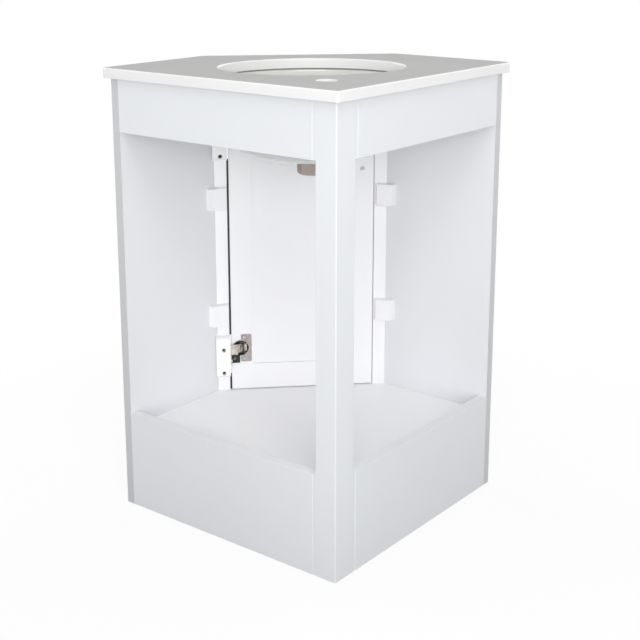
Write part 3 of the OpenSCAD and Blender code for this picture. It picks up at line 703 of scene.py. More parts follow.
def combine(piece: Piece, tool: Piece, how: Boolean) -> Piece:
    """Cuts a tool out of a piece, or fuses it in, and deletes the tool.

    Args:
        piece: the piece that stays.
        tool: the other piece.
        how: whether it is cut or fused.

    Returns:
        The piece.
    """
    modifier = piece.modifiers.new("boolean", "BOOLEAN")
    modifier.operation = how.value
    modifier.solver = "EXACT"
    modifier.object = tool
    apply_modifiers(piece)
    bpy.data.objects.remove(tool)
    return piece


def bevel_sharp(piece: Piece, width: float, segments: int, degrees: float = 40.0) -> None:
    """Rounds every edge of a piece that is sharper than an angle.

    Args:
        piece: the piece.
        width: the rounding's offset.
        segments: how many spans it has.
        degrees: the angle.
    """
    modifier = piece.modifiers.new("round", "BEVEL")
    modifier.width = width
    modifier.segments = segments
    modifier.limit_method = "ANGLE"
    modifier.angle_limit = math.radians(degrees)
    modifier.harden_normals = False
    apply_modifiers(piece)


def round_edges(piece: Piece, wanted: Callable[[Edge], bool], width: float, segments: int) -> None:
    """Bevels the wanted edges of a piece round.

    Args:
        piece: the piece to round.
        wanted: tells whether an edge is rounded.
        width: the bevel's offset.
        segments: how many spans the rounding has.
    """
    activate(piece, "EDIT")
    bpy.ops.mesh.select_mode(type="EDGE")
    bpy.ops.mesh.select_all(action="DESELECT")
    mesh = bmesh.from_edit_mesh(piece.data)
    for edge in mesh.edges:
        edge.select_set(wanted(edge))
    bmesh.update_edit_mesh(piece.data)
    bpy.ops.mesh.bevel(
        offset=width, segments=segments, affect="EDGES", clamp_overlap=False, loop_slide=False
    )
    bpy.ops.object.mode_set(mode="OBJECT")


def runs_along(edge: Edge, axis: int) -> bool:
    """Tells whether an edge runs along an axis."""
    first, second = edge.verts
    return abs((first.co - second.co).normalized()[axis]) > ALONG


def is_arris(edge: Edge, height: float) -> bool:
    """Tells whether an edge is sharp and lies at a height."""
    level = all(abs(corner.co.z - height) < MM / 100 for corner in edge.verts)
    return level and len(edge.link_faces) == 2 and edge.calc_face_angle() > math.radians(40)


@dataclass(frozen=True)
class Ring:
    """One ring of a loft: its half width, half depth and height."""

    width: float
    depth: float
    height: float

    @staticmethod
    def round(radius: float, height: float) -> "Ring":
        """A circular ring."""
        return Ring(radius, radius, height)

    def grown(self, by: float, height: float) -> "Ring":
        """The ring that lies outside this one by a distance, at another height."""
        return Ring(self.width + by, self.depth + by, height)


def rounding(middle: Ring, reach: float | Span, start: float, end: float, steps: int) -> list[Ring]:
    """Rings of a rounding, whose arc in section has its centre on a ring.

    Args:
        middle: the ring through the arc's centre.
        reach: the arc's radius, or its radii outwards and upwards.
        start: its first angle in degrees, where 0 is outwards and 90 is up.
        end: its last angle in degrees.
        steps: how many spans it has.

    Returns:
        The rings, from first to last.
    """
    out, up = reach if isinstance(reach, tuple) else (reach, reach)
    turns = [math.radians(start + (end - start) * i / steps) for i in range(steps + 1)]
    return [middle.grown(out * math.cos(t), middle.height + up * math.sin(t)) for t in turns]


def loft(name: str, rings: list[Ring], sides: int, closed: bool = False) -> Piece:
    """Lofts a shell through rings round the Z axis, from a circle that is extruded and resized.

    Args:
        name: the piece's name.
        rings: the rings in order.
        sides: how many sides the rings have.
        closed: True where the last ring meets the first, False where both are capped.

    Returns:
        The piece.
    """
    deselect()
    fill = "NOTHING" if closed else "NGON"
    bpy.ops.mesh.primitive_circle_add(vertices=sides, radius=1.0, fill_type=fill)
    piece = bpy.context.object
    piece.name = piece.data.name = name
    bpy.ops.object.mode_set(mode="EDIT")
    bpy.ops.mesh.select_all(action="SELECT")
    last = rings[0]
    bpy.ops.transform.resize(value=(last.width, last.depth, 1.0), center_override=(0, 0, 0))
    bpy.ops.transform.translate(value=(0, 0, last.height))
    for ring in rings[1:] + ([rings[0]] if closed else []):
        move = {"value": (0, 0, ring.height - last.height)}
        bpy.ops.mesh.extrude_region_move(TRANSFORM_OT_translate=move)
        grow = (ring.width / last.width, ring.depth / last.depth, 1.0)
        bpy.ops.transform.resize(value=grow, center_override=(0, 0, 0))
        last = ring
    bpy.ops.object.mode_set(mode="OBJECT")
    face_outwards(piece)
    return piece


def drill(
    piece: Piece, half: Span, span: Span, sides: int, at: Vector, turn: Triple = (0.0, 0.0, 0.0)
) -> None:
    """Cuts a straight round or oval hole through a piece.

    Args:
        piece: the piece.
        half: the hole's half width and half depth.
        span: where the tool starts and ends on its axis.
        sides: how many sides it has.
        at: where the tool's origin goes.
        turn: the tool's angles about X, Y and Z in degrees.
    """
    tool = loft("drill", [Ring(*half, height) for height in span], sides)
    combine(piece, placed(tool, at, turn), Boolean.CUT)


def slab_of(name: str, low: Vector, high: Vector) -> Piece:
    """A block between two corners, to be cut and rounded.

    Args:
        name: the piece's name.
        low: the lowest corner.
        high: the highest corner.

    Returns:
        The piece.
    """
    deselect()
    bpy.ops.mesh.primitive_cube_add(size=1.0, location=(low + high) / 2)
    piece = bpy.context.object
    piece.name = piece.data.name = name
    piece.scale = high - low
    return settle(piece)


def copied(piece: Piece, name: str, move: Vector) -> Piece:
    """A copy of a piece with its own mesh, moved.

    Args:
        piece: the piece to copy.
        name: the copy's name.
        move: how far the copy lies from the piece.

    Returns:
        The copy.
    """
    twin = piece.copy()
    twin.data = piece.data.copy()
    twin.name = twin.data.name = name
    bpy.context.scene.collection.objects.link(twin)
    twin.location = move
    return settle(twin)


# ---- The sub-assemblies ----


def place_mm(x: float, y: float, z: float) -> Vector:
    """A field whose default is a place given in millimetres."""
    return field(default_factory=lambda: Vector((x, y, z)) * MM)


@dataclass
class Dressed:
    """A sub-assembly whose pieces ride on one body."""

    finishes: dict[Slot, Material]

    def dress(self, piece: Piece, slot: Slot, material: Material | None = None) -> None:
        """Gives a piece its finish.

        Args:
            piece: a CAD node's object or a modelled piece.
            slot: the record's slot that it takes its finish from.
            material: another material than the slot's own, where given.
        """
        piece.data.materials.clear()
        piece.data.materials.append(material or self.finishes[slot])
        LOG.info("%s: %s", piece.name, piece.data.materials[0].name)

    def dress_nodes(
        self, frame: dict, slot: Slot, *names: str, material: Material | None = None
    ) -> None:
        """Gives CAD nodes their finish.

        Args:
            slot: the finish's slot.
            names: the nodes.
            material: another material than the slot's own, where given.
        """
        for name in names:
            self.dress(frame["nodes"][name], slot, material)

    def join_body(self, piece: Piece, body: Body, slot: Slot, *nodes: str) -> None:
        """Lets a modelled piece ride on a body and stand for CAD nodes.

        Args:
            piece: the modelled piece.
            body: the body that carries it.
            slot: not used.
            nodes: the CAD nodes that it replaces.
        """
        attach(piece, body.value)
        if nodes:
            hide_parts(*nodes)
        LOG.info("%s: rides on %s", piece.name, body.value)


@dataclass
class Carcass(Dressed):
    """The boards, posts, floor and small blocks of the cabinet."""

    darker_banded_board: Material
    darker_outer_board: Material
    boards: tuple[str, ...] = (
        "frame_stile_left", "frame_stile_right", "frame_head_rail", "toe_board",
        "floor_panel", "glue_blocks", "hinge_block_lower", "hinge_block_upper",
    )
    outer: tuple[str, ...] = (
        "back_rail_top_left", "back_rail_top_right", "back_rail_bottom_left",
        "back_rail_bottom_right", "corner_post_wide", "corner_post_narrow",
    )
    banded: tuple[str, ...] = ("side_panel_left", "side_panel_right")

    def build(self, frame: dict) -> None:
        """Dresses the carcass.
        """
        # One white lacquer in three copies: the boards' copy is painted lighter for the lit door and inside,
        # and the side panels' and open backs' copies are painted darker, as painted shade.
        self.dress_nodes(frame, Slot.BOARD, *self.boards)
        self.dress_nodes(frame, Slot.BOARD, *self.outer, material=self.darker_outer_board)
        self.dress_nodes(frame, Slot.BOARD, *self.banded, material=self.darker_banded_board)
        self.dress_nodes(frame, Slot.WOOD, "floor_cleats", "joint_dowels")
        self.dress_nodes(frame, Slot.DARK, "hinge_block_screws")


@dataclass
class Hinges(Dressed):
    """Both concealed hinges, with their cups modelled as pressed steel."""

    # black for the pieces that stand for shade: painted shade
    rubber: Material
    plate_steel: Material
    shaded_steel: Material
    lit_screw_steel: Material
    cup_at: Vector = place_mm(132.5, -277.95, 263.0)
    apart: float = 473 * MM
    cup_radius: float = 17.45 * MM
    cup_inside: float = 16.25 * MM
    cup_floor: float = 7.2 * MM
    cup_under: float = 6.0 * MM
    inner_fillet: float = 2.0 * MM
    outer_fillet: float = 1.6 * MM
    pole: float = 0.4 * MM
    door_back: float = 18.0 * MM
    rim_reach: float = 18.55 * MM
    rim_top: float = 19.2 * MM
    plate_width: float = 23 * MM
    plate_height: float = 62 * MM
    plate_thick: float = 1.2 * MM
    plate_corner: float = 3 * MM
    plate_arris: float = 0.25 * MM
    cup_sides: int = 72
    shadow_reach: float = 0.15 * MM
    shadow_depth: float = 0.1 * MM
    leaf_bend: tuple[Span, ...] = (
        (122.6, 8.3), (120.8, 8.6), (119.3, 9.6), (118.5, 11.2), (118.3, 13.4),
        (118.5, 15.6), (119.2, 17.3), (120.6, 18.3), (122.4, 18.4), (123.6, 17.6),
    )
    leaf_half: float = 7.0 * MM
    leaf_thick: float = 0.9 * MM
    leaf_arris: float = 0.3 * MM
    strip_low: Vector = place_mm(152.8, -268.0, 0.0)
    strip_high: Vector = place_mm(155.45, -259.9, 0.0)
    strip_arris: float = 0.25 * MM
    lip_thick: float = 0.8 * MM
    lip_reach: float = 1.3 * MM
    lip_overlap: float = 0.2 * MM
    strip_spans: tuple[tuple[str, float, float], ...] = (
        ("gap_shade_strip_bottom", 171 * MM, 203.5 * MM),
        ("gap_shade_strip_middle", 294.5 * MM, 676.5 * MM),
        ("gap_shade_strip_top", 767.5 * MM, 828 * MM),
    )
    housing_low: Vector = place_mm(135.0, -253.9, 232.0)
    housing_high: Vector = place_mm(153.8, -251.3, 249.5)
    housing_arris: float = 0.8 * MM
    adjuster_at: Vector = place_mm(146.0, -260.0, 242.5)
    adjuster_room: float = 4.8 * MM
    adjuster_sides: int = 48

    def build(self, frame: dict) -> None:
        """Dresses the arms and models the cups and what is small beside them.
        """
        arms = ("hinge_arm_lower", "hinge_arm_upper", "hinge_arm_screws")
        self.dress_nodes(frame, Slot.NICKEL, *arms, "hinge_links", "hinge_cup_screws")
        self.dress_nodes(frame, Slot.ZINC, "hinge_pins")
        # the adjusters take a lighter copy of the dark screw steel: a painted highlight
        self.dress_nodes(frame, Slot.DARK, "hinge_adjusters", material=self.lit_screw_steel)
        for piece, which in self._both(self._cup()):
            self._dress_cup(piece)
            self.join_body(piece, Body.DOOR, Slot.NICKEL, f"hinge_cup_{which}")
        for piece, _ in self._both(self._leaf()):
            self.dress(piece, Slot.NICKEL)
            self.join_body(piece, Body.DOOR, Slot.NICKEL)
        # the housing's black is in part painted shade round the adjusting screw
        for piece, _ in self._both(self._housing()):
            self.dress(piece, Slot.DARK, self.rubber)
            self.join_body(piece, Body.CABINET, Slot.DARK)
        # dark strips put in the door gap where there is only shade: painted shade
        for name, low, high in self.strip_spans:
            self._strip(name, low, high)

    def _both(self, lower: Piece) -> list[tuple[Piece, str]]:
        """Copies a piece of the lower hinge to the upper one.

        Args:
            lower: the lower piece, whose name ends in lower.

        Returns:
            Both pieces, each with the word for its hinge.
        """
        name = lower.name.replace("lower", "upper")
        return [(lower, "lower"), (copied(lower, name, Vector((0, 0, self.apart))), "upper")]

    def _cup(self) -> Piece:
        """Models the lower cup: its bowl with a rolled rim, and its flange plate.

        Returns:
            The cup.
        """
        inner, outer = self.inner_fillet, self.outer_fillet
        roll = (self.rim_reach - self.cup_inside) / 2
        height = self.rim_top - self.door_back
        corner = Ring.round(self.cup_radius - outer, self.cup_under + outer)
        rim = Ring.round(self.cup_inside + roll, self.door_back)
        hollow = Ring.round(self.cup_inside - inner, self.cup_floor + inner)
        rings = [Ring.round(self.pole, self.cup_under)]
        rings += rounding(corner, outer, -90, 0, 4)
        rings.append(Ring.round(self.cup_radius, self.door_back))
        rings += rounding(rim, (roll, height), 0, 180, 8)
        rings += rounding(hollow, inner, 0, -90, 4)
        rings.append(Ring.round(self.pole, self.cup_floor))
        bowl = placed(loft("pressed_cup_lower", rings, self.cup_sides), self.cup_at, ONTO_Y)
        piece = combine(bowl, self._plate(), Boolean.FUSE)
        smooth(piece, 32, flat_faces=True)
        return piece

    def _plate(self) -> Piece:
        """Models the flange plate, rounded at its corners and open over the cup.

        Returns:
            The plate.
        """
        front = self.door_back + self.plate_thick
        low = self.cup_at + Vector((-self.plate_width, self.door_back, -self.plate_height / 2))
        high = self.cup_at + Vector((0, front, self.plate_height / 2))
        plate = slab_of("flange_plate", low, high)
        round_edges(plate, partial(runs_along, axis=Y_AXIS), self.plate_corner, 6)
        bevel_sharp(plate, self.plate_arris, 2)
        radius = (self.cup_inside + self.cup_radius) / 2
        drill(plate, (radius, radius), (0.0, 40 * MM), self.cup_sides, self.cup_at, ONTO_Y)
        return plate

    def _dress_cup(self, piece: Piece) -> None:
        """Dresses a cup: its plate and outside, and its shaded inside.

        Args:
            piece: the cup.
        """
        self.dress(piece, Slot.NICKEL, self.plate_steel)
        piece.data.materials.append(self.shaded_steel)
        middle_z = self.cup_at.z + (self.apart if piece.name.endswith("upper") else 0.0)
        floor = self.cup_floor - self.shadow_depth
        for face in piece.data.polygons:
            spread = math.hypot(face.center.x - self.cup_at.x, face.center.z - middle_z)
            depth = face.center.y - self.cup_at.y
            inside = spread < self.cup_inside + self.shadow_reach and floor < depth < self.door_back
            face.material_index = int(inside)

    def _leaf(self) -> Piece:
        """Models the lower cup's spring leaf: a curved strip that hugs the cup's far wall.

        Returns:
            The leaf.
        """
        deselect()
        bpy.ops.mesh.primitive_plane_add(size=1.0, location=(0, 0, 0))
        leaf = bpy.context.object
        leaf.name = leaf.data.name = "spring_leaf_lower"
        x, y = self.leaf_bend[0]
        start = Vector((x * MM, self.cup_at.y + y * MM, self.cup_at.z))
        for corner, side in zip(leaf.data.vertices, (-1, 1, -1, 1)):
            corner.co = start + Vector((0, 0, self.leaf_half * side))
        bpy.ops.object.mode_set(mode="EDIT")
        bpy.ops.mesh.select_all(action="SELECT")
        bpy.ops.mesh.remove_doubles(threshold=MM / 1000)
        bpy.ops.mesh.select_mode(type="EDGE")
        for (x0, y0), (x1, y1) in zip(self.leaf_bend, self.leaf_bend[1:]):
            move = {"value": ((x1 - x0) * MM, (y1 - y0) * MM, 0)}
            bpy.ops.mesh.extrude_region_move(TRANSFORM_OT_translate=move)
        bpy.ops.object.mode_set(mode="OBJECT")
        thick = leaf.modifiers.new("thick", "SOLIDIFY")
        thick.thickness = self.leaf_thick
        thick.offset = 0.0
        bevel_sharp(leaf, self.leaf_arris, 2, 50)
        face_outwards(leaf)
        smooth(leaf, 45)
        return leaf

    def _housing(self) -> Piece:
        """Models the dark housing round the lower hinge's adjusting screw; its black stands in part for the
        shade round the screw, painted shade.

        Returns:
            The housing.
        """
        housing = slab_of("adjuster_housing_lower", self.housing_low, self.housing_high)
        bevel_sharp(housing, self.housing_arris, 4)
        room = (self.adjuster_room, self.adjuster_room)
        drill(housing, room, (0.0, 30 * MM), self.adjuster_sides, self.adjuster_at, ONTO_Y)
        smooth(housing, 40, flat_faces=True)
        return housing

    def _strip(self, name: str, bottom: float, top: float) -> None:
        """Models one length of the thin dark strip in the gap beside the hinges, a dark piece that stands
        for the shade in the gap: painted shade.

        Args:
            name: the strip's name.
            bottom: its lowest height.
            top: its highest height.
        """
        low = Vector((self.strip_low.x, self.strip_low.y, bottom))
        high = Vector((self.strip_high.x, self.strip_high.y, top))
        lip_low = Vector((low.x, high.y - self.lip_overlap, bottom))
        lip_high = Vector((high.x + self.lip_reach, high.y + self.lip_thick, top))
        strip = combine(slab_of(name, low, high), slab_of("lip", lip_low, lip_high), Boolean.FUSE)
        round_edges(strip, partial(runs_along, axis=Z_AXIS), self.strip_arris, 3)
        smooth(strip)
        self.dress(strip, Slot.SEALANT, self.rubber)
        self.join_body(strip, Body.CABINET, Slot.SEALANT)


@dataclass
class Door(Dressed):
    """The five-piece door with its turned knob."""

    boards: tuple[str, ...] = (
        "door_stile_latch", "door_stile_hinge", "door_rail_top", "door_rail_bottom", "door_panel",
    )
    knob_at: Vector = place_mm(-129.5, -277.95, 651.0)
    knob_length: float = 26 * MM
    head_length: float = 9 * MM
    knob_radius: float = 15 * MM
    head_round: float = 3 * MM
    head_bend: float = 60.0
    head_half: float = 3.4 * MM
    crown_rise: float = 2.6 * MM
    crown_inset: float = 1.5 * MM
    foot_radius: float = 8 * MM
    foot_ease: float = 0.6 * MM
    foot_heights: Span = (0.5 * MM, 1.3 * MM)
    neck_from: float = 1.5 * MM
    neck_radius: float = 5 * MM
    neck_hollow: float = 2.6
    neck_flare: float = 0.85
    neck_steps: int = 12
    pole: float = 0.3 * MM
    sides: int = 72

    def build(self, frame: dict) -> None:
        """Dresses the door and models its knob.
        """
        # the door's boards take the lacquer copy painted lighter
        self.dress_nodes(frame, Slot.BOARD, *self.boards)
        self.dress_nodes(frame, Slot.ZINC, "knob_screw")
        knob = self._knob()
        self.dress(knob, Slot.NICKEL)
        self.join_body(knob, Body.DOOR, Slot.NICKEL, "knob")

    def _knob(self) -> Piece:
        """Models the knob from foot to crown.

        Returns:
            The knob.
        """
        head = self.knob_length - self.head_length
        shoulder = self.knob_radius - self.head_round
        rings = [Ring.round(self.foot_radius - self.foot_ease, 0.0)]
        rings += [Ring.round(self.foot_radius, height) for height in self.foot_heights]
        for step in range(1, self.neck_steps):
            share = step / self.neck_steps
            waist = abs(2 * share - 1) ** self.neck_hollow
            flare = self.foot_radius if share < 0.5 else shoulder
            radius = self.neck_radius + (flare - self.neck_radius) * waist * self.neck_flare
            rings.append(Ring.round(radius, self.neck_from + (head - self.neck_from) * share))
        rings.append(Ring.round(shoulder, head))
        middle = Ring.round(shoulder, head + self.head_half)
        rings += rounding(middle, self.head_round, -self.head_bend, self.head_bend, 8)
        base = head + self.head_half + self.crown_rise
        crown = rounding(
            Ring.round(0.0, base),
            (self.knob_radius - self.crown_inset, self.knob_length - base),
            0, 90, 8,
        )
        rings += crown[1:-1]
        rings.append(Ring.round(self.pole, self.knob_length))
        knob = placed(loft("turned_knob", rings, self.sides), self.knob_at, (90, 0, 0))
        smooth(knob, 40)
        return knob


@dataclass
class Top(Dressed):
    """The top with softly rounded edges, and the basin hung under it."""

    lit_edge_finish: Material
    biscuit: Material
    corner_y: float = 289.05 * MM
    front_y: float = -277.95 * MM
    wall_run: float = 535 * MM
    overhang: float = 12 * MM
    front_overhang: float = 5 * MM
    low: float = 869 * MM
    high: float = 889 * MM
    corner_radius: float = 5 * MM
    arris: float = 3 * MM
    low_arris: float = 1.5 * MM
    upward: float = 0.86
    cut_margin: float = 10 * MM
    basin_y: float = -61.95 * MM
    cut_width: float = 178 * MM
    cut_depth: float = 146 * MM
    tap_y: float = 160.05 * MM
    tap_radius: float = 17.5 * MM
    tap_sides: int = 64
    sides: int = 144
    flange_top: float = 867 * MM
    flange_thick: float = 11 * MM
    flange_reach: float = 20 * MM
    flange_round: float = 2.5 * MM
    under_fillet: float = 4 * MM
    rim_setback: float = 2 * MM
    rim_round: float = 4 * MM
    bowl_depth: float = 146 * MM
    bowl_wall: float = 8 * MM
    bowl_flat: float = 44 * MM
    bowl_roundness: float = 0.72
    inside_steps: int = 36
    inside_skipped: int = 4
    outside_steps: int = 30
    outside_skipped: int = 3
    drain_radius: float = 22.5 * MM
    drain_ease: float = 0.3 * MM
    bore_room: float = 0.1 * MM
    boss_radius: float = 29 * MM
    boss_length: float = 31 * MM
    boss_fillet: float = 5 * MM
    boss_round: float = 6 * MM
    seat_radius: float = 30 * MM
    seat_depth: float = 2.5 * MM
    seat_slope: float = 0.6 * MM
    seat_lip: float = 0.4 * MM
    ease: float = 1 * MM

    def build(self, frame: dict) -> None:
        """Models the top and the basin, and dresses what holds them.
        """
        self.dress_nodes(frame, Slot.SEALANT, "basin_sealant")
        self.dress_nodes(frame, Slot.ZINC, "basin_clips", "basin_clip_screws")
        self.join_body(self._top(), Body.CABINET, Slot.STONE, "countertop")
        self.join_body(self._basin(), Body.CABINET, Slot.WARE, "basin")

    def _top(self) -> Piece:
        """Models the five-sided top from a square that is cut along its front.

        Returns:
            The top.
        """
        side = self.wall_run + 2 * self.overhang
        middle_y = self.corner_y + self.overhang * math.sqrt(2) - side / math.sqrt(2)
        half = Vector((side, side, self.high - self.low)) / 2
        middle = Vector((0, middle_y, (self.low + self.high) / 2))
        top = placed(slab_of("stone_top", -half, half), middle, (0, 0, 45))
        self._cut_front(top)
        front_corner = self.corner_radius * math.tan(math.radians(22.5))
        round_edges(top, self._is_at_front, front_corner, 4)
        round_edges(top, self._is_at_wall, self.corner_radius, 8)
        self._cut_holes(top)
        round_edges(top, partial(is_arris, height=self.high), self.arris, 4)
        round_edges(top, partial(is_arris, height=self.low), self.low_arris, 3)
        smooth(top, 30, flat_faces=True)
        # One stone in two tones by face: the upward faces are painted darker, as painted shade, and every
        # other face is painted lighter, as painted light on the edges.
        self.dress(top, Slot.STONE)
        top.data.materials.append(self.lit_edge_finish)
        for face in top.data.polygons:
            face.material_index = int(face.normal.z <= self.upward)
        return top

    def _is_at_front(self, edge: Edge) -> bool:
        """Tells whether an upright edge stands at the front."""
        line = self.front_y - self.front_overhang
        return runs_along(edge, Z_AXIS) and abs(edge.verts[0].co.y - line) < MM / 10

    @staticmethod
    def _is_at_wall(edge: Edge) -> bool:
        """Tells whether an upright edge is one of the three square corners."""
        return runs_along(edge, Z_AXIS) and edge.calc_face_angle() > math.radians(60)

    def _cut_front(self, top: Piece) -> None:
        """Cuts the square along the front line.

        Args:
            top: the square.
        """
        activate(top, "EDIT")
        bpy.ops.mesh.select_all(action="SELECT")
        bpy.ops.mesh.bisect(
            plane_co=(0, self.front_y - self.front_overhang, 0),
            plane_no=(0, -1, 0),
            use_fill=True,
            clear_outer=True,
        )
        bpy.ops.object.mode_set(mode="OBJECT")

    def _cut_holes(self, top: Piece) -> None:
        """Cuts the basin's oval and the tap hole.

        Args:
            top: the top.
        """
        span = (self.low - self.cut_margin, self.high + self.cut_margin)
        oval = (self.cut_width, self.cut_depth)
        drill(top, oval, span, self.sides, Vector((0, self.basin_y, 0)))
        tap = (self.tap_radius, self.tap_radius)
        drill(top, tap, span, self.tap_sides, Vector((0, self.tap_y, 0)))

    def _section(self, wall: float, top: float, depth: float, steps: int) -> list[Ring]:
        """One face of the bowl, from its rim down to the flat round the drain.

        Args:
            wall: how far the face lies outside the bowl's inside.
            top: the height of its first ring, from the flange's top.
            depth: the depth of its last ring.
            steps: how many spans it has.

        Returns:
            The rings from the rim down.
        """
        edge = self.rim_setback + wall
        reach = [half + edge - self.bowl_flat for half in (self.cut_width, self.cut_depth)]
        rings = []
        for i in range(1, steps + 1):
            turn = math.radians(90 * i / steps)
            out = max(math.cos(turn), 0.0) ** self.bowl_roundness
            down = math.sin(turn) ** self.bowl_roundness
            width, depth_half = (self.bowl_flat + across * out for across in reach)
            rings.append(Ring(width, depth_half, top - (depth + top) * down))
        return rings

    def _basin(self) -> Piece:
        """Models the basin as one closed shell, from its drain up, over its flange and down.

        Returns:
            The basin.
        """
        rim = Ring(self.cut_width + self.rim_setback, self.cut_depth + self.rim_setback, 0.0)
        under = -self.bowl_depth - self.bowl_wall
        boss_end = under - self.boss_length
        seat = -self.bowl_depth - self.seat_depth
        drain = [
            (self.drain_radius, boss_end + self.ease),
            (self.drain_radius, seat - self.ease),
            (self.drain_radius + self.ease, seat),
            (self.seat_radius - self.ease, seat),
            (self.seat_radius, seat + self.ease),
            (self.seat_radius + self.seat_slope, -self.bowl_depth - self.seat_lip),
            (self.seat_radius + self.seat_depth, -self.bowl_depth),
        ]
        rings = [Ring.round(radius, height) for radius, height in drain]
        inside = self._section(0.0, 0.0, self.bowl_depth, self.inside_steps)
        rings += reversed(inside[self.inside_skipped :])
        rings += rounding(rim.grown(self.rim_round, -self.rim_round), self.rim_round, 180, 90, 6)
        edge = self.flange_round
        lower = edge - self.flange_thick
        rings += rounding(rim.grown(self.flange_reach - edge, -edge), edge, 90, 0, 4)
        rings += rounding(rim.grown(self.flange_reach - edge, lower), edge, 0, -90, 4)
        rings.append(rim.grown(self.bowl_wall + self.under_fillet, -self.flange_thick))
        outside = self._section(self.bowl_wall, -self.flange_thick, -under, self.outside_steps)
        rings += outside[self.outside_skipped :]
        foot, fillet, turn = self.boss_radius, self.boss_fillet, self.boss_round
        rings += rounding(Ring.round(foot + fillet, under - fillet), fillet, 90, 180, 5)
        rings += rounding(Ring.round(foot - turn, boss_end + turn), turn, 0, -90, 6)
        rings.append(Ring.round(self.drain_radius + self.drain_ease, boss_end))
        basin = loft("glazed_basin", rings, self.sides, closed=True)
        placed(basin, Vector((0, self.basin_y, self.flange_top)))
        smooth(basin, 50)
        self.dress(basin, Slot.WARE)
        basin.data.materials.append(self.biscuit)
        self._bare_boss(basin, self.flange_top + under - self.ease)
        return basin

    def _bare_boss(self, basin: Piece, line: float) -> None:
        """Leaves the outside of the drain boss unglazed.

        Args:
            basin: the basin.
            line: the height that the glaze ends at.
        """
        bore = self.drain_radius + self.bore_room
        for face in basin.data.polygons:
            spread = math.hypot(face.center.x, face.center.y - self.basin_y)
            face.material_index = int(face.center.z < line and spread > bore)


@dataclass(frozen=True)
class Lamp:
    """A square area lamp: its name, its place, the point it faces, its side and its power."""

    name: str
    at: Triple
    aim: Triple
    size: float
    watts: float

    def build(self) -> None:
        """Adds the lamp to the scene."""
        data = bpy.data.lights.new(self.name, "AREA")
        data.size = self.size
        data.energy = self.watts
        lamp = bpy.data.objects.new(self.name, data)
        lamp.location = self.at
        ray = Vector(self.aim) - Vector(self.at)
        lamp.rotation_euler = ray.to_track_quat("-Z", "Y").to_euler()
        bpy.context.scene.collection.objects.link(lamp)


@dataclass
class Studio:
    """Camera, floor, lamps and world."""

    camera_at: Triple = (0.2707, 2.2846, 1.1483)
    yaw: float = -96.95
    pitch: float = 14.09
    lens: float = 69.85
    sensor: float = 36.0
    shift: float = -0.13
    seen_from: float = 0.05
    seen_to: float = 500.0
    white: Rgba = (1.0, 1.0, 1.0, 1.0)
    ambient: float = 0.455
    floor_size: float = 400.0
    floor_drop: float = 0.5 * MM
    floor_seen: Srgb = (250, 250, 250)
    # painted shadow: the floor's tone near the object for the light it bounces
    floor_painted_shade: Srgb = (135, 136, 138)
    floor_far: Srgb = (220, 221, 223)
    bounce_from: Span = (0.4, 1.8)
    glow_from: Span = (0.5, 1.3)
    glow: Span = (0.8, 1.0)
    lamps: tuple[Lamp, ...] = (
        Lamp("far key", (0.3, 6.0, 0.95), (0.0, 0.0, 0.5), 4.5, 240.0),
        Lamp("near key", (0.0, 2.0, 1.05), (0.0, 0.0, 0.6), 0.9, 4.5),
        Lamp("over", (0.0, 1.8, 2.6), (0.0, 0.0, 0.4), 1.2, 16.0),
        Lamp("top", (0.0, -0.3, 4.0), (0.0, -0.1, 0.9), 2.5, 27.0),
        Lamp("left front fill", (4.2, -4.2, 1.3), (0.0, 0.0, 0.5), 3.0, 122.0),
        Lamp("right front fill", (-4.2, -4.2, 1.3), (0.0, 0.0, 0.5), 3.0, 122.0),
    )

    def build(self) -> None:
        """Builds the whole studio."""
        self._camera()
        self._world()
        self._floor()
        for lamp in self.lamps:
            lamp.build()

    def _camera(self) -> None:
        """Places the camera of the photograph."""
        data = bpy.data.cameras.new("camera")
        data.lens = self.lens
        data.sensor_width = self.sensor
        data.shift_y = self.shift
        data.clip_start = self.seen_from
        data.clip_end = self.seen_to
        camera = bpy.data.objects.new("camera", data)
        camera.location = self.camera_at
        camera.rotation_euler = (math.radians(90 - self.pitch), 0.0, math.radians(self.yaw - 90))
        bpy.context.scene.collection.objects.link(camera)
        bpy.context.scene.camera = camera

    def _world(self) -> None:
        """A soft even world that looks plain white."""
        world = bpy.data.worlds.new("studio")
        world.use_nodes = True
        bpy.context.scene.world = world
        nodes = world.node_tree.nodes
        sheet = NodeSheet(world.node_tree)
        soft = sheet.feed(nodes["Background"], Color=self.white, Strength=self.ambient)
        plain = sheet.feed(sheet.add("Background"), Color=self.white, Strength=1.0)
        sheet.blend(sheet.seen(), soft, plain, nodes["World Output"])

    def _floor(self) -> None:
        """A pale floor that keeps the shadow near the object and turns plain white further off; for the
        light it bounces it is painted darker near the object, a painted shadow.
        """
        deselect()
        bpy.ops.mesh.primitive_plane_add(size=self.floor_size, location=(0, 0, -self.floor_drop))
        floor = bpy.context.object
        floor.name = "floor"
        material = bpy.data.materials.new("pale floor")
        material.use_nodes = True
        nodes = material.node_tree.nodes
        sheet = NodeSheet(material.node_tree)
        seen = sheet.seen()
        spread = sheet.add("VectorMath", operation="LENGTH")
        sheet.put(sheet.place(), spread.inputs[0])
        away = sheet.remap(spread.outputs["Value"], *self.bounce_from)
        # painted shadow: darker near the object, for bounced light only
        bounced = sheet.mix(away, linear(*self.floor_painted_shade), linear(*self.floor_far))
        tone = sheet.mix(seen, bounced, linear(*self.floor_seen))
        shader = nodes["Principled BSDF"]
        sheet.feed(shader, Base_Color=tone, Roughness=1.0, Specular_IOR_Level=0.0)
        glow = sheet.feed(sheet.add("Emission"), Color=self.white, Strength=1.0)
        far = sheet.remap(spread.outputs["Value"], *self.glow_from, self.glow)
        sheet.blend(sheet.math("MULTIPLY", far, seen), shader, glow, nodes["Material Output"])
        floor.data.materials.append(material)


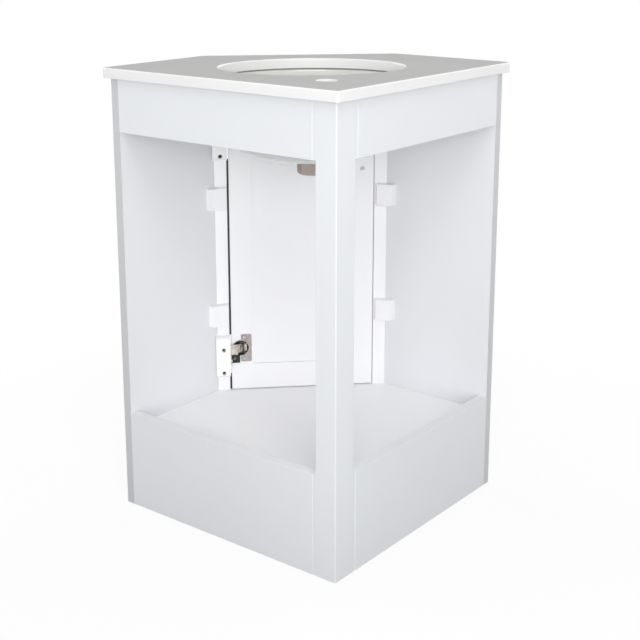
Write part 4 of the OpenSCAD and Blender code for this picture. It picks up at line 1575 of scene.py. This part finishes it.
def main() -> None:
    """Builds the studio and every sub-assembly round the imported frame."""
    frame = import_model()
    bpy.context.scene.view_settings.view_transform = "Standard"
    Studio().build()
    effects = Effects()
    # the top's stone, painted darker than the edge copy below: painted shade on the upward faces
    stone = Stone("light grey honed stone", (177, 177, 176), 0.5, (173, 173, 172), gloss=0.15)
    sealant = Grainy("grey sealant", (150, 148, 144), 0.5, 60.0, 300.0, dark=0.8, relief=0.5)
    slots = {
        Slot.STONE: stone,
        Slot.WARE: Ware("white glazed ware", (224, 224, 222), 0.12),
        Slot.SEALANT: sealant,
        Slot.ZINC: Steel("zinc plate", (172, 174, 176), 0.35, (120, 122, 124)),
        Slot.DARK: Steel("blackened screw steel", (60, 59, 58), 0.4, (30, 30, 30)),
        Slot.NICKEL: Steel("nickel plate", (214, 209, 198), 0.3, (150, 144, 133)),
        # the boards' white, painted lighter than its two other copies below: painted light
        Slot.BOARD: Lacquer("white satin lacquer painted lighter", (250, 250, 252), 0.42),
        Slot.WOOD: Wood("bare softwood", (214, 178, 130), 0.75),
    }
    # the side panels' and the open backs' copies of the same white, painted darker: painted shade
    banded = Lacquer("white lacquer with banded ends", (233, 234, 237), 0.42, end_tone=0.76)
    outer = Lacquer("white lacquer of the open backs", (234, 236, 239), 0.42, 0.2 * MM)
    # the black of the gap strips and the adjuster housing: painted shade in the gap, and in part round the
    # adjuster
    rubber = Rubber("black rubber standing for shade", (26, 27, 29), 0.6)
    plate_steel = Steel("grey nickel plate", (176, 169, 168), 0.34, (144, 137, 136))
    shaded_steel = Steel("shaded nickel plate", (92, 86, 79), 0.42, (44, 40, 36))
    # a lighter copy of the dark screw steel, painted so the adjusters' highlights show
    lit_screw_steel = Steel("worn screw steel", (120, 117, 112), 0.35, (52, 50, 48))
    # the same stone painted lighter for its edges: painted light
    lit_edge_stone = Stone("stone edge painted lighter", (241, 241, 240), 0.3, (233, 233, 232))
    biscuit = Grainy("unglazed ware", (196, 184, 176), 0.85)

    finishes = {slot: finish.build(effects) for slot, finish in slots.items()}
    Carcass(finishes, banded.build(effects), outer.build(effects)).build(frame)
    small = (rubber, plate_steel, shaded_steel, lit_screw_steel)
    Hinges(finishes, *(finish.build(effects) for finish in small)).build(frame)
    Door(finishes).build(frame)
    Top(finishes, lit_edge_stone.build(effects), biscuit.build(effects)).build(frame)


if __name__ == "__main__":
    main()
